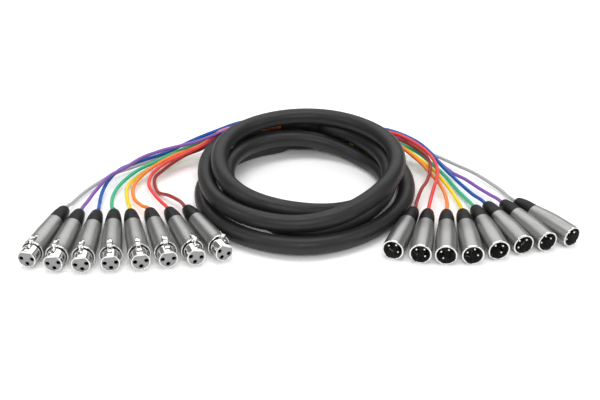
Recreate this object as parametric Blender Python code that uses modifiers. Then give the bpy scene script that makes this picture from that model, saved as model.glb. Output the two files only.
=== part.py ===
"""An eight-channel audio snake cable, full size in metres, lying on the table z = 0.

A thick trunk is wound into a loose coil of four turns. Behind the coil a sleeve at each end of
the trunk lets out eight coloured leads. The left leads run forward to eight socket plugs, each
with a sprung latch on top, and the right leads run forward to eight pin plugs.
"""
import math

import bmesh
import bpy
import numpy as np
from mathutils import Matrix, Vector

MM = 0.001

# Clearances
SEAT_GAP = 0.3 * MM
LATCH_SIDE_GAP = 0.3 * MM
LATCH_END_GAP = 0.7 * MM
LEAD_SPACING = 0.68 * MM

# Trunk
TRUNK_DIAMETER = 16.0 * MM
TRUNK_POINTS_PER_TURN = 24
COIL_MIDDLE = (0.5 * MM, 3.5 * MM)
# Each turn starts at the back and goes left, forward, right: the radius from the coil's middle
# and the height of the trunk's own middle, in millimetres, at every eighth of the turn
TRUNK_TURNS = (
    ((96, 9), (93, 8), (96, 8), (100, 8), (104, 10), (95, 8), (97, 8), (107, 8)),
    ((117, 8), (106, 22), (93, 25), (93, 24), (89, 23), (86, 34), (86, 41), (86, 42)),
    ((89, 41), (88, 39), (80, 38), (78, 32), (69, 23), (60, 10), (78, 8), (82, 8)),
    ((82, 19), (80, 22), (74, 22), (71, 15), (79, 8), (81, 17), (80, 25), (87, 25)),
)
TRUNK_END_STATION = (102, 26)
TRUNK_LEAN_BEFORE = (119, 16)
TRUNK_LEAN_AFTER = (117, 28)

# Breakout sleeves, one at each end of the trunk
SLEEVE_LENGTH = 24.0 * MM
SLEEVE_TIP_DIAMETER = 13.8 * MM
SLEEVE_LIP = 1.0 * MM
LEFT_SLEEVE_HEADING = (-1.0, -0.03, 0.04)
RIGHT_SLEEVE_HEADING = (1.0, -0.05, 0.05)

# Leads
LEAD_DIAMETER = 3.4 * MM
LEAD_POINTS = 26
LEAD_STRAIGHT_END = 4.0 * MM

# Socket plug: nose tube, rim with a recess round the nose, shell and boot
NOSE_DIAMETER = 16.2 * MM
NOSE_WALL = 1.1 * MM
NOSE_REACH = 12.0 * MM
RECESS_WIDTH = 0.9 * MM
RECESS_DEPTH = 4.0 * MM
RIM_WALL = 0.85 * MM
RIM_LENGTH = 2.5 * MM
RIM_SLOPE = 2.5 * MM
RIM_STEP = 0.45 * MM
SOCKET_SHELL_LENGTH = 48.1 * MM
SOCKET_WAIST_AT = 28.0 * MM
SOCKET_WAIST_DROP = 1.05 * MM
SOCKET_REAR_WALL = 0.85 * MM
SOCKET_BOOT_DIAMETER = 15.2 * MM
SOCKET_BOOT_LENGTH = 22.2 * MM

# Socket insert
INSERT_FLAT_HEIGHT = 4.9 * MM
INSERT_FLAT_BEHIND_LATCH = 2.1 * MM
CONTACT_CIRCLE_RADIUS = 4.75 * MM
CONTACT_HOLE_DIAMETER = 2.9 * MM
CONTACT_HOLE_DEPTH = 8.0 * MM

# Latch of the socket plug
LATCH_WIDTH = 4.2 * MM
LATCH_FRONT = 4.5 * MM
LATCH_BRIDGE_GAP = 1.5 * MM
LATCH_THICKNESS = 1.0 * MM
LATCH_SINK = 0.1 * MM
LATCH_TOOTH_HEIGHT = 0.9 * MM
LATCH_TOOTH_RAMP = 1.4 * MM
LATCH_TOOTH_TOP = 1.4 * MM
LATCH_TOOTH_BACK = 0.7 * MM
LATCH_PAD_SET_BACK = 1.2 * MM
LATCH_PAD_HEIGHT = 1.75 * MM
LATCH_PAD_SLOPE = 0.4 * MM
LATCH_PAD_LENGTH = 4.3 * MM
LATCH_TAIL_LENGTH = 2.3 * MM
LATCH_PIVOT_INSET = 0.6 * MM

# Pin plug: straight sleeve, tapered rear and boot
PIN_SHELL_DIAMETER = 19.0 * MM
PIN_SHELL_WALL = 1.35 * MM
PIN_SHELL_CHAMFER = 0.6 * MM
PIN_SHELL_STRAIGHT = 28.0 * MM
PIN_SHELL_LENGTH = 48.3 * MM
PIN_SHELL_REAR_DIAMETER = 15.2 * MM
PIN_SHELL_REAR_WALL = 1.0 * MM
PIN_SHELL_NECK_LENGTH = 2.8 * MM
PIN_SHELL_INNER_STRAIGHT = 26.0 * MM
PIN_INSERT_DEPTH = 15.0 * MM
PIN_DIAMETER = 2.4 * MM
PIN_LENGTH = 13.0 * MM
PIN_ROOT = 1.0 * MM
PIN_TIP = 0.5 * MM
KEY_WIDTH = 4.4 * MM
KEY_DEPTH = 0.4 * MM
KEY_LENGTH = 11.0 * MM
PIN_BOOT_DIAMETER = 14.8 * MM
PIN_BOOT_LENGTH = 21.9 * MM

# Shape that both boots share
BOOT_COLLAR = 1.6 * MM
BOOT_SHOULDER_AT = 11.5 * MM
BOOT_SHOULDER_DIAMETER = 14.0 * MM
BOOT_KNUCKLE = 2.6 * MM
BOOT_KNUCKLE_DIAMETER = 11.2 * MM
BOOT_TAIL_DIAMETER = 9.2 * MM

ROUND_SIDES = 16
SMALL_ROUND_SIDES = 8

# Sizes that follow from the ones above
TRUNK_RADIUS = TRUNK_DIAMETER / 2
LEAD_RADIUS = LEAD_DIAMETER / 2
OUTER_LEADS = 7
LEAD_RING_RADIUS = (LEAD_DIAMETER + LEAD_SPACING) / (2 * math.sin(math.pi / OUTER_LEADS))
NOSE_RADIUS = NOSE_DIAMETER / 2
NOSE_BORE_RADIUS = NOSE_RADIUS - NOSE_WALL
RIM_INNER_RADIUS = NOSE_RADIUS + RECESS_WIDTH
RIM_RADIUS = RIM_INNER_RADIUS + RIM_WALL
SOCKET_SHELL_END = -(NOSE_REACH + SOCKET_SHELL_LENGTH)
SOCKET_TAIL = SOCKET_SHELL_END - SEAT_GAP - SOCKET_BOOT_LENGTH
PIN_SHELL_RADIUS = PIN_SHELL_DIAMETER / 2
PIN_BORE_RADIUS = PIN_SHELL_RADIUS - PIN_SHELL_WALL
PIN_TAIL = -PIN_SHELL_LENGTH - SEAT_GAP - PIN_BOOT_LENGTH

# Places of the plugs: the middle of the front face (x, y) in millimetres, the turn of the tail to
# the right about the vertical, and the roll of the plug, clockwise from the front, in degrees
SOCKET_PLUGS = (
    (-233.3, -121.2, 10.5, 0),
    (-209.8, -127.6, 4.3, -8),
    (-186.1, -129.3, -1, -8),
    (-161.8, -127.3, -7.4, -2),
    (-136.7, -125, -14.8, 0),
    (-114.1, -121.3, -18.7, 5),
    (-90.9, -118.1, -23, 17),
    (-67.8, -111.2, -28.6, 30),
)
PIN_PLUGS = (
    (74.8, -106.9, 20.7, 209),
    (97.8, -113.2, 11.8, 217),
    (119.2, -115.2, 7.9, 115),
    (142.1, -114.8, 1, 197),
    (165.5, -107.5, -7.9, 232),
    (188.2, -98.9, -17, 137),
    (209.7, -93.9, -22, 167),
    (233, -86, -31.5, 152),
)
# Leads in the order of their plugs, from left to right
SOCKET_LEADS = ("grey", "violet", "blue", "green", "yellow", "orange", "red", "brown")
PIN_LEADS = ("brown", "red", "orange", "yellow", "green", "blue", "violet", "grey")
# Places in the sleeve: the lead in the middle, then the ring from the top, by plug number
LEFT_SLEEVE_ORDER = (4, 2, 3, 5, 1, 8, 6, 7)
RIGHT_SLEEVE_ORDER = (1, 2, 3, 4, 5, 8, 7, 6)

# Points that each lead passes between its sleeve and its plug, in millimetres
SOCKET_LEAD_ROUTES = (
    ((-40, 107, 25), (-65, 103, 26), (-89, 98, 12), (-120, 81, 10), (-146, 63, 9),
     (-168, 54, 4), (-186, 37, 5), (-200, 19, 4), (-212, -5, 4), (-216, -20, 5)),
    ((-41, 98, 34), (-60, 85, 36), (-82, 71, 34), (-103, 66, 27), (-145, 57, 19),
     (-160, 48, 17), (-174, 33, 14), (-187, 15, 14), (-197, -4, 9), (-201, -21, 8)),
    ((-44, 101, 32), (-62, 96, 33), (-92, 85, 27), (-109, 82, 21), (-137, 66, 14),
     (-164, 48, 12), (-180, 32, 12), (-186, 22, 10), (-191, -1, 7), (-190, -25, 6)),
    ((-48, 100, 28), (-69, 95, 28), (-86, 88, 21), (-107, 74, 20), (-128, 62, 16),
     (-151, 42, 13), (-163, 27, 13), (-175, 16, 7), (-180, -11, 6), (-177, -31, 6)),
    ((-44, 106, 30), (-66, 100, 29), (-89, 91, 21), (-104, 81, 19), (-131, 66, 11),
     (-147, 50, 8), (-162, 29, 6), (-169, 15, 5), (-167, -9, 3), (-162, -26, 5)),
    ((-46, 92, 26), (-59, 89, 30), (-85, 79, 30), (-99, 73, 21), (-131, 55, 15),
     (-147, 40, 12), (-155, 29, 10), (-163, 5, 7), (-160, -11, 5), (-150, -27, 6)),
    ((-44, 91, 33), (-59, 85, 32), (-82, 76, 32), (-97, 67, 24), (-122, 54, 16),
     (-136, 40, 15), (-147, 27, 11), (-149, 12, 8), (-142, -6, 7), (-134, -20, 7)),
    ((-42, 98, 24), (-60, 93, 30), (-82, 84, 29), (-101, 74, 15), (-120, 61, 12),
     (-139, 40, 7), (-145, 27, 6), (-140, 6, 2), (-127, -8, 6), (-116, -20, 7)),
)
PIN_LEAD_ROUTES = (
    ((38, 95, 14), (54, 89, 21), (66, 82, 27), (86, 67, 31), (111, 67, 19),
     (122, 46, 17), (122, 25, 17), (117, 8, 13), (110, -8, 13), (104, -24, 8)),
    ((38, 97, 18), (59, 92, 24), (77, 85, 28), (95, 72, 30), (113, 58, 26),
     (124, 42, 22), (128, 25, 19), (126, 7, 16), (122, -6, 14), (117, -23, 10)),
    ((40, 89, 15), (56, 86, 18), (65, 80, 23), (90, 68, 25), (102, 56, 20),
     (116, 34, 16), (125, 18, 11), (129, 5, 11), (132, -12, 9), (132, -27, 8)),
    ((43, 88, 11), (58, 82, 16), (82, 72, 22), (94, 71, 19), (111, 53, 16),
     (121, 40, 13), (130, 25, 10), (136, 10, 8), (143, -18, 6), (144, -29, 7)),
    ((36, 94, 7), (58, 89, 16), (75, 80, 21), (83, 80, 20), (115, 63, 14),
     (126, 47, 11), (136, 30, 8), (146, 7, 4), (150, -4, 4), (155, -26, 7)),
    ((39, 101, 19), (55, 99, 24), (85, 90, 27), (101, 82, 25), (118, 68, 21),
     (125, 59, 18), (136, 38, 12), (144, 21, 10), (153, 3, 8), (158, -6, 7)),
    ((40, 100, 15), (50, 99, 19), (87, 91, 20), (92, 88, 21), (114, 73, 17),
     (130, 56, 12), (146, 34, 7), (156, 22, 7), (167, 6, 6), (175, -6, 6)),
    ((39, 98, 11), (56, 92, 18), (92, 93, 13), (111, 81, 12), (134, 66, 9),
     (151, 54, 6), (165, 41, 5), (182, 17, 4), (189, 6, 3), (191, 1, 3)),
)

COLOURS = {
    "trunk": ("#2B2B2C", 0.45, 0.0),
    "sleeve": ("#1A1A1B", 0.50, 0.0),
    "shell": ("#9C9A97", 0.30, 1.0),
    "latch": ("#C9C8C6", 0.15, 1.0),
    "moulding": ("#1A1A1A", 0.55, 0.0),
    "brown": ("#A8403C", 0.45, 0.0),
    "red": ("#F05050", 0.45, 0.0),
    "orange": ("#FF8034", 0.45, 0.0),
    "yellow": ("#FFDC00", 0.45, 0.0),
    "green": ("#3DBE8B", 0.45, 0.0),
    "blue": ("#0A58A8", 0.45, 0.0),
    "violet": ("#8A5CB0", 0.45, 0.0),
    "grey": ("#A9A9A9", 0.45, 0.0),
}


def clear_scene():
    """Remove every object that the new file opens with."""
    for obj in list(bpy.data.objects):
        bpy.data.objects.remove(obj, do_unlink=True)


def new_collection(name):
    """Make a collection in the scene."""
    collection = bpy.data.collections.new(name)
    bpy.context.scene.collection.children.link(collection)
    return collection


def linear(channel):
    """Turn one sRGB channel, 0 to 1, into a linear one."""
    return channel / 12.92 if channel <= 0.04045 else ((channel + 0.055) / 1.055) ** 2.4


def new_material(name, hex_colour, roughness, metallic):
    """Make a Principled material from an sRGB hex colour."""
    material = bpy.data.materials.new(name)
    material.use_nodes = True
    shader = material.node_tree.nodes["Principled BSDF"]
    rgb = [linear(int(hex_colour[i:i + 2], 16) / 255) for i in (1, 3, 5)]
    shader.inputs["Base Color"].default_value = (*rgb, 1.0)
    shader.inputs["Roughness"].default_value = roughness
    shader.inputs["Metallic"].default_value = metallic
    material.diffuse_color = (*rgb, 1.0)
    return material


def add_object(name, data, collection, material=None, parent=None):
    """Put mesh or curve data into the scene as a named object."""
    obj = bpy.data.objects.new(name, data)
    collection.objects.link(obj)
    if material is not None:
        data.materials.append(material)
    obj.parent = parent
    return obj


def turned(name, outline, closed, collection, material=None, parent=None, sides=ROUND_SIDES):
    """Turn an outline of (radius, z) about local Z with a Screw modifier."""
    mesh = bpy.data.meshes.new(name)
    verts = [(radius, 0.0, z) for radius, z in outline]
    edges = [(i, i + 1) for i in range(len(verts) - 1)]
    if closed:
        edges.append((len(verts) - 1, 0))
    mesh.from_pydata(verts, edges, [])
    obj = add_object(name, mesh, collection, material, parent)
    screw = obj.modifiers.new("Turn", "SCREW")
    screw.axis = "Z"
    screw.steps = sides
    screw.render_steps = sides
    screw.use_merge_vertices = True
    screw.merge_threshold = 0.00001
    screw.use_smooth_shade = True
    return obj


def box_cutter(name, low, high, collection, parent):
    """A box from its low to its high corner, kept as a hidden guide."""
    mesh = bpy.data.meshes.new(name)
    shape = bmesh.new()
    bmesh.ops.create_cube(shape, size=1.0)
    low, high = Vector(low), Vector(high)
    size = high - low
    bmesh.ops.scale(shape, vec=size, verts=shape.verts)
    bmesh.ops.translate(shape, vec=(low + high) / 2, verts=shape.verts)
    shape.to_mesh(mesh)
    shape.free()
    return hide_guide(add_object(name, mesh, collection, parent=parent))


def hide_guide(obj):
    """Keep a cutter or guide out of the render and the build."""
    obj.hide_render = True
    obj.display_type = "WIRE"
    return obj


def contact_places():
    """The three contacts: left, right and the one in the middle below."""
    for degrees in (180, 0, 270):
        angle = math.radians(degrees)
        yield CONTACT_CIRCLE_RADIUS * math.cos(angle), CONTACT_CIRCLE_RADIUS * math.sin(angle)


def contact_rods(name, diameter, back, front, tip, collection, parent):
    """Three rods along local Z, one for each contact, with chamfered front edges."""
    mesh = bpy.data.meshes.new(name)
    shape = bmesh.new()
    for x, y in contact_places():
        place = Matrix.Translation((x, y, (back + front) / 2))
        made = bmesh.ops.create_cone(
            shape, cap_ends=True, cap_tris=False, segments=SMALL_ROUND_SIDES,
            radius1=diameter / 2, radius2=diameter / 2, depth=front - back, matrix=place)
        if tip > 0:
            rod = set(made["verts"])
            top = [v for v in rod if v.co.z > (back + front) / 2]
            ring = [e for e in shape.edges if e.verts[0] in top and e.verts[1] in top]
            bmesh.ops.bevel(shape, geom=ring, offset=tip, segments=1, affect="EDGES")
    shape.to_mesh(mesh)
    shape.free()
    return hide_guide(add_object(name, mesh, collection, parent=parent))


def boolean(obj, tool, operation):
    """Cut or join a guide with the exact solver."""
    modifier = obj.modifiers.new(operation.title(), "BOOLEAN")
    modifier.operation = operation
    modifier.solver = "EXACT"
    modifier.object = tool


def boot_outline(front, length, diameter):
    """The boot's outer side from its collar to its tail, as (radius, z)."""
    tail = front - length
    return [
        (diameter / 2, front),
        (diameter / 2, front - BOOT_COLLAR),
        (BOOT_SHOULDER_DIAMETER / 2, front - BOOT_SHOULDER_AT),
        (BOOT_KNUCKLE_DIAMETER / 2, tail + BOOT_KNUCKLE),
        (BOOT_TAIL_DIAMETER / 2, tail),
        (0.0, tail),
    ]


def plug_frame(place, axis_height):
    """Where a plug lies: local Z out of its front, local Y to its top."""
    x, y, yaw, roll = place
    yaw, roll = math.radians(yaw), math.radians(roll)
    front = Vector((-math.sin(yaw), -math.cos(yaw), 0.0))
    right = Vector((math.cos(yaw), -math.sin(yaw), 0.0))
    top = math.cos(roll) * Vector((0.0, 0.0, 1.0)) + math.sin(roll) * right
    side = top.cross(front)
    frame = Matrix((side, top, front)).transposed().to_4x4()
    frame.translation = (x * MM, y * MM, axis_height)
    return frame


def plug_empty(name, frame, collection):
    """An empty at the middle of a plug's front face."""
    empty = bpy.data.objects.new(name, None)
    empty.empty_display_size = NOSE_RADIUS
    collection.objects.link(empty)
    empty.rotation_euler = frame.to_euler()
    empty.location = frame.translation
    return empty


def socket_shell(name, parent, parts, guides, material):
    """Nose tube, recess, rim and tapered shell in one casting, slotted for the latch."""
    rim_front = -NOSE_REACH
    recess_floor = rim_front - RECESS_DEPTH
    rim_back = rim_front - RIM_LENGTH
    outline = [
        (NOSE_BORE_RADIUS, 0.0),
        (NOSE_RADIUS, 0.0),
        (NOSE_RADIUS, recess_floor),
        (RIM_INNER_RADIUS, recess_floor),
        (RIM_INNER_RADIUS, rim_front),
        (RIM_RADIUS, rim_front),
        (RIM_RADIUS, rim_back),
        (RIM_RADIUS - RIM_STEP, rim_back - RIM_SLOPE),
        (RIM_RADIUS - SOCKET_WAIST_DROP, rim_front - SOCKET_WAIST_AT),
        (NOSE_BORE_RADIUS + SOCKET_REAR_WALL, SOCKET_SHELL_END),
        (NOSE_BORE_RADIUS, SOCKET_SHELL_END),
    ]
    shell = turned(name, outline, True, parts, material, parent)
    half_slot = LATCH_WIDTH / 2 + LATCH_SIDE_GAP
    slot_floor = (INSERT_FLAT_HEIGHT + latch_underside()) / 2
    slot = box_cutter(
        name + "_slot",
        (-half_slot, slot_floor, latch_back() - LATCH_END_GAP),
        (half_slot, RIM_RADIUS + LATCH_PAD_HEIGHT, -(LATCH_FRONT - LATCH_BRIDGE_GAP)),
        guides, parent)
    boolean(shell, slot, "DIFFERENCE")
    return shell


def socket_core(name, parent, parts, guides, material):
    """Insert, inner moulding and boot, with a flat under the latch and three contact holes."""
    face = -SEAT_GAP
    radius = NOSE_BORE_RADIUS - SEAT_GAP
    boot_front = SOCKET_SHELL_END - SEAT_GAP
    outline = [(0.0, face), (radius, face), (radius, boot_front)]
    outline += boot_outline(boot_front, SOCKET_BOOT_LENGTH, SOCKET_BOOT_DIAMETER)
    core = turned(name, outline, False, parts, material, parent)
    flat = box_cutter(
        name + "_flat",
        (-NOSE_RADIUS, INSERT_FLAT_HEIGHT, latch_back() - INSERT_FLAT_BEHIND_LATCH),
        (NOSE_RADIUS, NOSE_RADIUS, SEAT_GAP),
        guides, parent)
    boolean(core, flat, "DIFFERENCE")
    holes = contact_rods(
        name + "_holes", CONTACT_HOLE_DIAMETER, face - CONTACT_HOLE_DEPTH, SEAT_GAP, 0.0,
        guides, parent)
    boolean(core, holes, "DIFFERENCE")
    return core


def latch_underside():
    """Height of the latch's lower face over the plug's axis."""
    return NOSE_RADIUS - LATCH_SINK - LATCH_THICKNESS


def latch_back():
    """Where the latch ends, as a distance along local Z."""
    return -(NOSE_REACH + LATCH_PAD_LENGTH + LATCH_TAIL_LENGTH + LATCH_PAD_SET_BACK)


def socket_latch(name, parent, parts, material):
    """The sprung latch: tooth, arm, thumb pad and tail, turning about its tail."""
    underside = latch_underside()
    arm_top = underside + LATCH_THICKNESS
    tooth_front = -(LATCH_FRONT + LATCH_TOOTH_RAMP)
    tooth_top = NOSE_RADIUS + LATCH_TOOTH_HEIGHT
    pad_top = RIM_RADIUS + LATCH_PAD_HEIGHT
    pad_front = -(NOSE_REACH + LATCH_PAD_SET_BACK)
    back = latch_back()
    pivot_z = back + LATCH_PIVOT_INSET
    outline = [
        (-LATCH_FRONT, underside),
        (-LATCH_FRONT, arm_top),
        (tooth_front, tooth_top),
        (tooth_front - LATCH_TOOTH_TOP, tooth_top),
        (tooth_front - LATCH_TOOTH_TOP - LATCH_TOOTH_BACK, arm_top),
        (pad_front + LATCH_PAD_SLOPE, arm_top),
        (pad_front, pad_top - LATCH_PAD_SLOPE),
        (pad_front - LATCH_PAD_LENGTH, pad_top),
        (back, tooth_top),
        (back, underside),
    ]
    curve = bpy.data.curves.new(name, "CURVE")
    curve.dimensions = "2D"
    curve.fill_mode = "BOTH"
    curve.extrude = LATCH_WIDTH / 2
    spline = curve.splines.new("POLY")
    spline.points.add(len(outline) - 1)
    for point, (z, y) in zip(spline.points, outline):
        point.co = (z - pivot_z, y - arm_top, 0.0, 1.0)
    spline.use_cyclic_u = True
    latch = add_object(name, curve, parts, material, parent)
    latch.rotation_euler = Matrix(((0, 0, -1), (0, 1, 0), (1, 0, 0))).to_euler()
    latch.location = (0.0, arm_top, pivot_z)
    return latch


def pin_shell(name, parent, parts, guides, material):
    """Straight sleeve with a tapered rear, and a key slot inside its top."""
    rear = PIN_SHELL_REAR_DIAMETER / 2
    neck = rear - PIN_SHELL_REAR_WALL
    outline = [
        (PIN_BORE_RADIUS, 0.0),
        (PIN_SHELL_RADIUS - PIN_SHELL_CHAMFER, 0.0),
        (PIN_SHELL_RADIUS, -PIN_SHELL_CHAMFER),
        (PIN_SHELL_RADIUS, -PIN_SHELL_STRAIGHT),
        (rear, -PIN_SHELL_LENGTH),
        (neck, -PIN_SHELL_LENGTH),
        (neck, -PIN_SHELL_LENGTH + PIN_SHELL_NECK_LENGTH),
        (PIN_BORE_RADIUS, -PIN_SHELL_INNER_STRAIGHT),
    ]
    shell = turned(name, outline, True, parts, material, parent)
    key = box_cutter(
        name + "_key",
        (-KEY_WIDTH / 2, PIN_BORE_RADIUS - PIN_SHELL_WALL, -KEY_LENGTH),
        (KEY_WIDTH / 2, PIN_BORE_RADIUS + KEY_DEPTH, SEAT_GAP),
        guides, parent)
    boolean(shell, key, "DIFFERENCE")
    return shell


def pin_core(name, parent, parts, guides, material):
    """Insert with its three pins, inner moulding and boot."""
    neck = PIN_SHELL_REAR_DIAMETER / 2 - PIN_SHELL_REAR_WALL - SEAT_GAP
    boot_front = -PIN_SHELL_LENGTH - SEAT_GAP
    neck_front = -PIN_SHELL_LENGTH + PIN_SHELL_NECK_LENGTH - 2 * SEAT_GAP
    outline = [
        (0.0, -PIN_INSERT_DEPTH),
        (PIN_BORE_RADIUS - SEAT_GAP, -PIN_INSERT_DEPTH),
        (PIN_BORE_RADIUS - SEAT_GAP, -PIN_SHELL_INNER_STRAIGHT),
        (neck, neck_front),
        (neck, boot_front),
    ]
    outline += boot_outline(boot_front, PIN_BOOT_LENGTH, PIN_BOOT_DIAMETER)
    core = turned(name, outline, False, parts, material, parent)
    pins = contact_rods(
        name + "_pins", PIN_DIAMETER, -PIN_INSERT_DEPTH - PIN_ROOT,
        -PIN_INSERT_DEPTH + PIN_LENGTH, PIN_TIP, guides, parent)
    boolean(core, pins, "UNION")
    return core


def tube(name, points, radius, bevel_resolution, collection, material):
    """A round cable along the points, as a curve with filled caps."""
    curve = bpy.data.curves.new(name, "CURVE")
    curve.dimensions = "3D"
    curve.bevel_depth = radius
    curve.bevel_resolution = bevel_resolution
    curve.use_fill_caps = True
    spline = curve.splines.new("POLY")
    spline.points.add(len(points) - 1)
    for point, place in zip(spline.points, points):
        point.co = (*place, 1.0)
    return add_object(name, curve, collection, material)


def unit(vector):
    """A vector of length one."""
    vector = np.asarray(vector, dtype=float)
    return vector / np.linalg.norm(vector)


def through_stations(stations, steps):
    """Points on a smooth curve (uniform Catmull-Rom) through evenly spaced stations.

    The first and last stations only set how the curve leans at its ends.
    """
    stations = np.asarray(stations, dtype=float)
    spans = len(stations) - 3
    t = np.linspace(0.0, spans, spans * steps + 1)
    span = np.minimum(t.astype(int), spans - 1)
    u = (t - span)[:, None]
    a, b, c, d = (stations[span + k] for k in range(4))
    return 0.5 * (2 * b + (c - a) * u + (2 * a - 5 * b + 4 * c - d) * u ** 2
                  + (3 * b - a - 3 * c + d) * u ** 3)


def trunk_points():
    """The trunk's middle line: the turns, with one straight diameter at each end."""
    stations = [TRUNK_LEAN_BEFORE]
    for turn in TRUNK_TURNS:
        stations += turn
    stations += [TRUNK_END_STATION, TRUNK_LEAN_AFTER]
    per_turn = len(TRUNK_TURNS[0])
    line = through_stations(stations, TRUNK_POINTS_PER_TURN // per_turn) * MM
    angle = math.pi / 2 + np.arange(len(line)) * 2 * math.pi / TRUNK_POINTS_PER_TURN
    points = np.column_stack((
        COIL_MIDDLE[0] + line[:, 0] * np.cos(angle),
        COIL_MIDDLE[1] + line[:, 0] * np.sin(angle),
        np.maximum(line[:, 1], TRUNK_RADIUS)))
    start_knee = points[0] - unit(RIGHT_SLEEVE_HEADING) * TRUNK_DIAMETER
    end_knee = points[-1] - unit(LEFT_SLEEVE_HEADING) * TRUNK_DIAMETER
    return np.vstack((points[:1], start_knee, points[1:-1], end_knee, points[-1:]))


def least_gap(points, diameter, skip):
    """Least gap of a tube to itself, read on points, past a length `skip` along it."""
    dense = np.vstack([
        start + (end - start) * share
        for start, end in zip(points[:-1], points[1:]) for share in (0.0, 0.25, 0.5, 0.75)])
    run = np.concatenate(([0.0], np.cumsum(np.linalg.norm(np.diff(dense, axis=0), axis=1))))
    apart = np.linalg.norm(dense[:, None, :] - dense[None, :, :], axis=2)
    apart[np.abs(run[:, None] - run[None, :]) < skip] = np.inf
    return apart.min() - diameter


def sleeve(name, trunk_end, heading, parts, material):
    """The sleeve that closes a trunk's end and lets its leads out."""
    outline = [
        (0.0, SLEEVE_LENGTH),
        (SLEEVE_TIP_DIAMETER / 2 - SLEEVE_LIP / 2, SLEEVE_LENGTH),
        (SLEEVE_TIP_DIAMETER / 2, SLEEVE_LENGTH - SLEEVE_LIP),
        (TRUNK_RADIUS, SLEEVE_LIP),
        (TRUNK_RADIUS - SLEEVE_LIP / 2, 0.0),
        (0.0, 0.0),
    ]
    obj = turned(name, outline, False, parts, material)
    obj.rotation_euler = Vector(heading).to_track_quat("Z", "Y").to_euler()
    obj.location = Vector(trunk_end + unit(heading) * SEAT_GAP)
    return obj


def sleeve_exits(trunk_end, heading, order):
    """Where each lead leaves the sleeve's tip, by plug number."""
    along = unit(heading)
    tip = trunk_end + along * (SEAT_GAP + SLEEVE_LENGTH + SEAT_GAP)
    up = unit(np.array((0.0, 0.0, 1.0)) - along[2] * along)
    across = np.cross(along, up)
    exits = {order[0]: tip}
    for i, number in enumerate(order[1:]):
        angle = math.pi / 2 - 2 * math.pi * i / OUTER_LEADS
        exits[number] = tip + LEAD_RING_RADIUS * (math.sin(angle) * up + math.cos(angle) * across)
    return exits


def lead_points(start, start_heading, route, end, end_heading):
    """Points on a smooth curve from the sleeve through the route to the plug's tail.

    A cubic runs between each two points. Its slope at a point is the mean of the slopes on both
    sides, each weighted by the other side's length, and both ends are straight.
    """
    knots = np.vstack((
        start, start + start_heading * LEAD_STRAIGHT_END, np.asarray(route, dtype=float) * MM,
        end + end_heading * LEAD_STRAIGHT_END, end))
    step = np.diff(knots, axis=0)
    length = np.linalg.norm(step, axis=1)[:, None]
    run = np.concatenate(([0.0], np.cumsum(length[:, 0])))
    slope = step / length
    lean = np.vstack((
        slope[:1], (slope[:-1] * length[1:] + slope[1:] * length[:-1]) / (length[1:] + length[:-1]),
        slope[-1:]))
    lean[1], lean[-2] = slope[0], slope[-1]
    read = np.concatenate(([0.0], np.linspace(run[1], run[-2], LEAD_POINTS - 2), [run[-1]]))
    span = np.clip(np.searchsorted(run, read, side="right") - 1, 0, len(knots) - 2)
    u = ((read - run[span]) / length[span, 0])[:, None]
    h = length[span]
    return ((2 * u ** 3 - 3 * u ** 2 + 1) * knots[span] + (u ** 3 - 2 * u ** 2 + u) * h * lean[span]
            + (3 * u ** 2 - 2 * u ** 3) * knots[span + 1] + (u ** 3 - u ** 2) * h * lean[span + 1])


def build():
    """Model the whole snake cable."""
    clear_scene()
    parts = new_collection("audio_snake_cable")
    guides = new_collection("guides")
    looks = {name: new_material(name, *values) for name, values in COLOURS.items()}

    trunk = trunk_points()
    tube("trunk_cable", trunk, TRUNK_RADIUS, 1, parts, looks["trunk"])
    gap = least_gap(trunk, TRUNK_DIAMETER, 4 * TRUNK_DIAMETER)
    print(f"least gap of the trunk to itself: {gap / MM:.2f} mm")
    left_end, right_end = trunk[-1], trunk[0]
    sleeve("breakout_sleeve_left", left_end, LEFT_SLEEVE_HEADING, parts, looks["sleeve"])
    sleeve("breakout_sleeve_right", right_end, RIGHT_SLEEVE_HEADING, parts, looks["sleeve"])

    left_exits = sleeve_exits(left_end, LEFT_SLEEVE_HEADING, LEFT_SLEEVE_ORDER)
    right_exits = sleeve_exits(right_end, RIGHT_SLEEVE_HEADING, RIGHT_SLEEVE_ORDER)
    sides = (
        ("socket", SOCKET_PLUGS, RIM_RADIUS, SOCKET_TAIL, SOCKET_LEADS, SOCKET_LEAD_ROUTES,
         left_exits, LEFT_SLEEVE_HEADING),
        ("pin", PIN_PLUGS, PIN_SHELL_RADIUS, PIN_TAIL, PIN_LEADS, PIN_LEAD_ROUTES,
         right_exits, RIGHT_SLEEVE_HEADING),
    )
    for kind, places, height, tail, colours, routes, exits, heading in sides:
        for number, place in enumerate(places, start=1):
            frame = plug_frame(place, height)
            name = f"{kind}_plug_{number}"
            empty = plug_empty(name, frame, guides)
            if kind == "socket":
                socket_shell(name + "_shell", empty, parts, guides, looks["shell"])
                socket_core(name + "_core", empty, parts, guides, looks["moulding"])
                socket_latch(name + "_latch", empty, parts, looks["latch"])
            else:
                pin_shell(name + "_shell", empty, parts, guides, looks["shell"])
                pin_core(name + "_core", empty, parts, guides, looks["moulding"])
            colour = colours[number - 1]
            rear = -np.array(frame.col[2][:3])
            end = np.array(frame @ Vector((0.0, 0.0, tail - SEAT_GAP)))
            line = lead_points(
                exits[number], unit(heading), routes[number - 1], end, rear)
            tube(f"{kind}_lead_{number}_{colour}", line, LEAD_RADIUS, 2, parts, looks[colour])


build()
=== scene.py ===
"""Looks of an eight-channel audio snake cable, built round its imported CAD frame.

Laid out as a Blender add-on and run as a script. Lengths in the tables are in millimetres, and
every function works in metres. Each piece is a numpy surface whose place is in its mesh, and
carries an attribute "local": its own straight coordinates, which its material's patterns follow.
"""

import math

import bmesh
import bpy
import numpy as np
from bpy.props import FloatProperty, FloatVectorProperty, PointerProperty
from mathutils import Matrix, Vector


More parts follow.
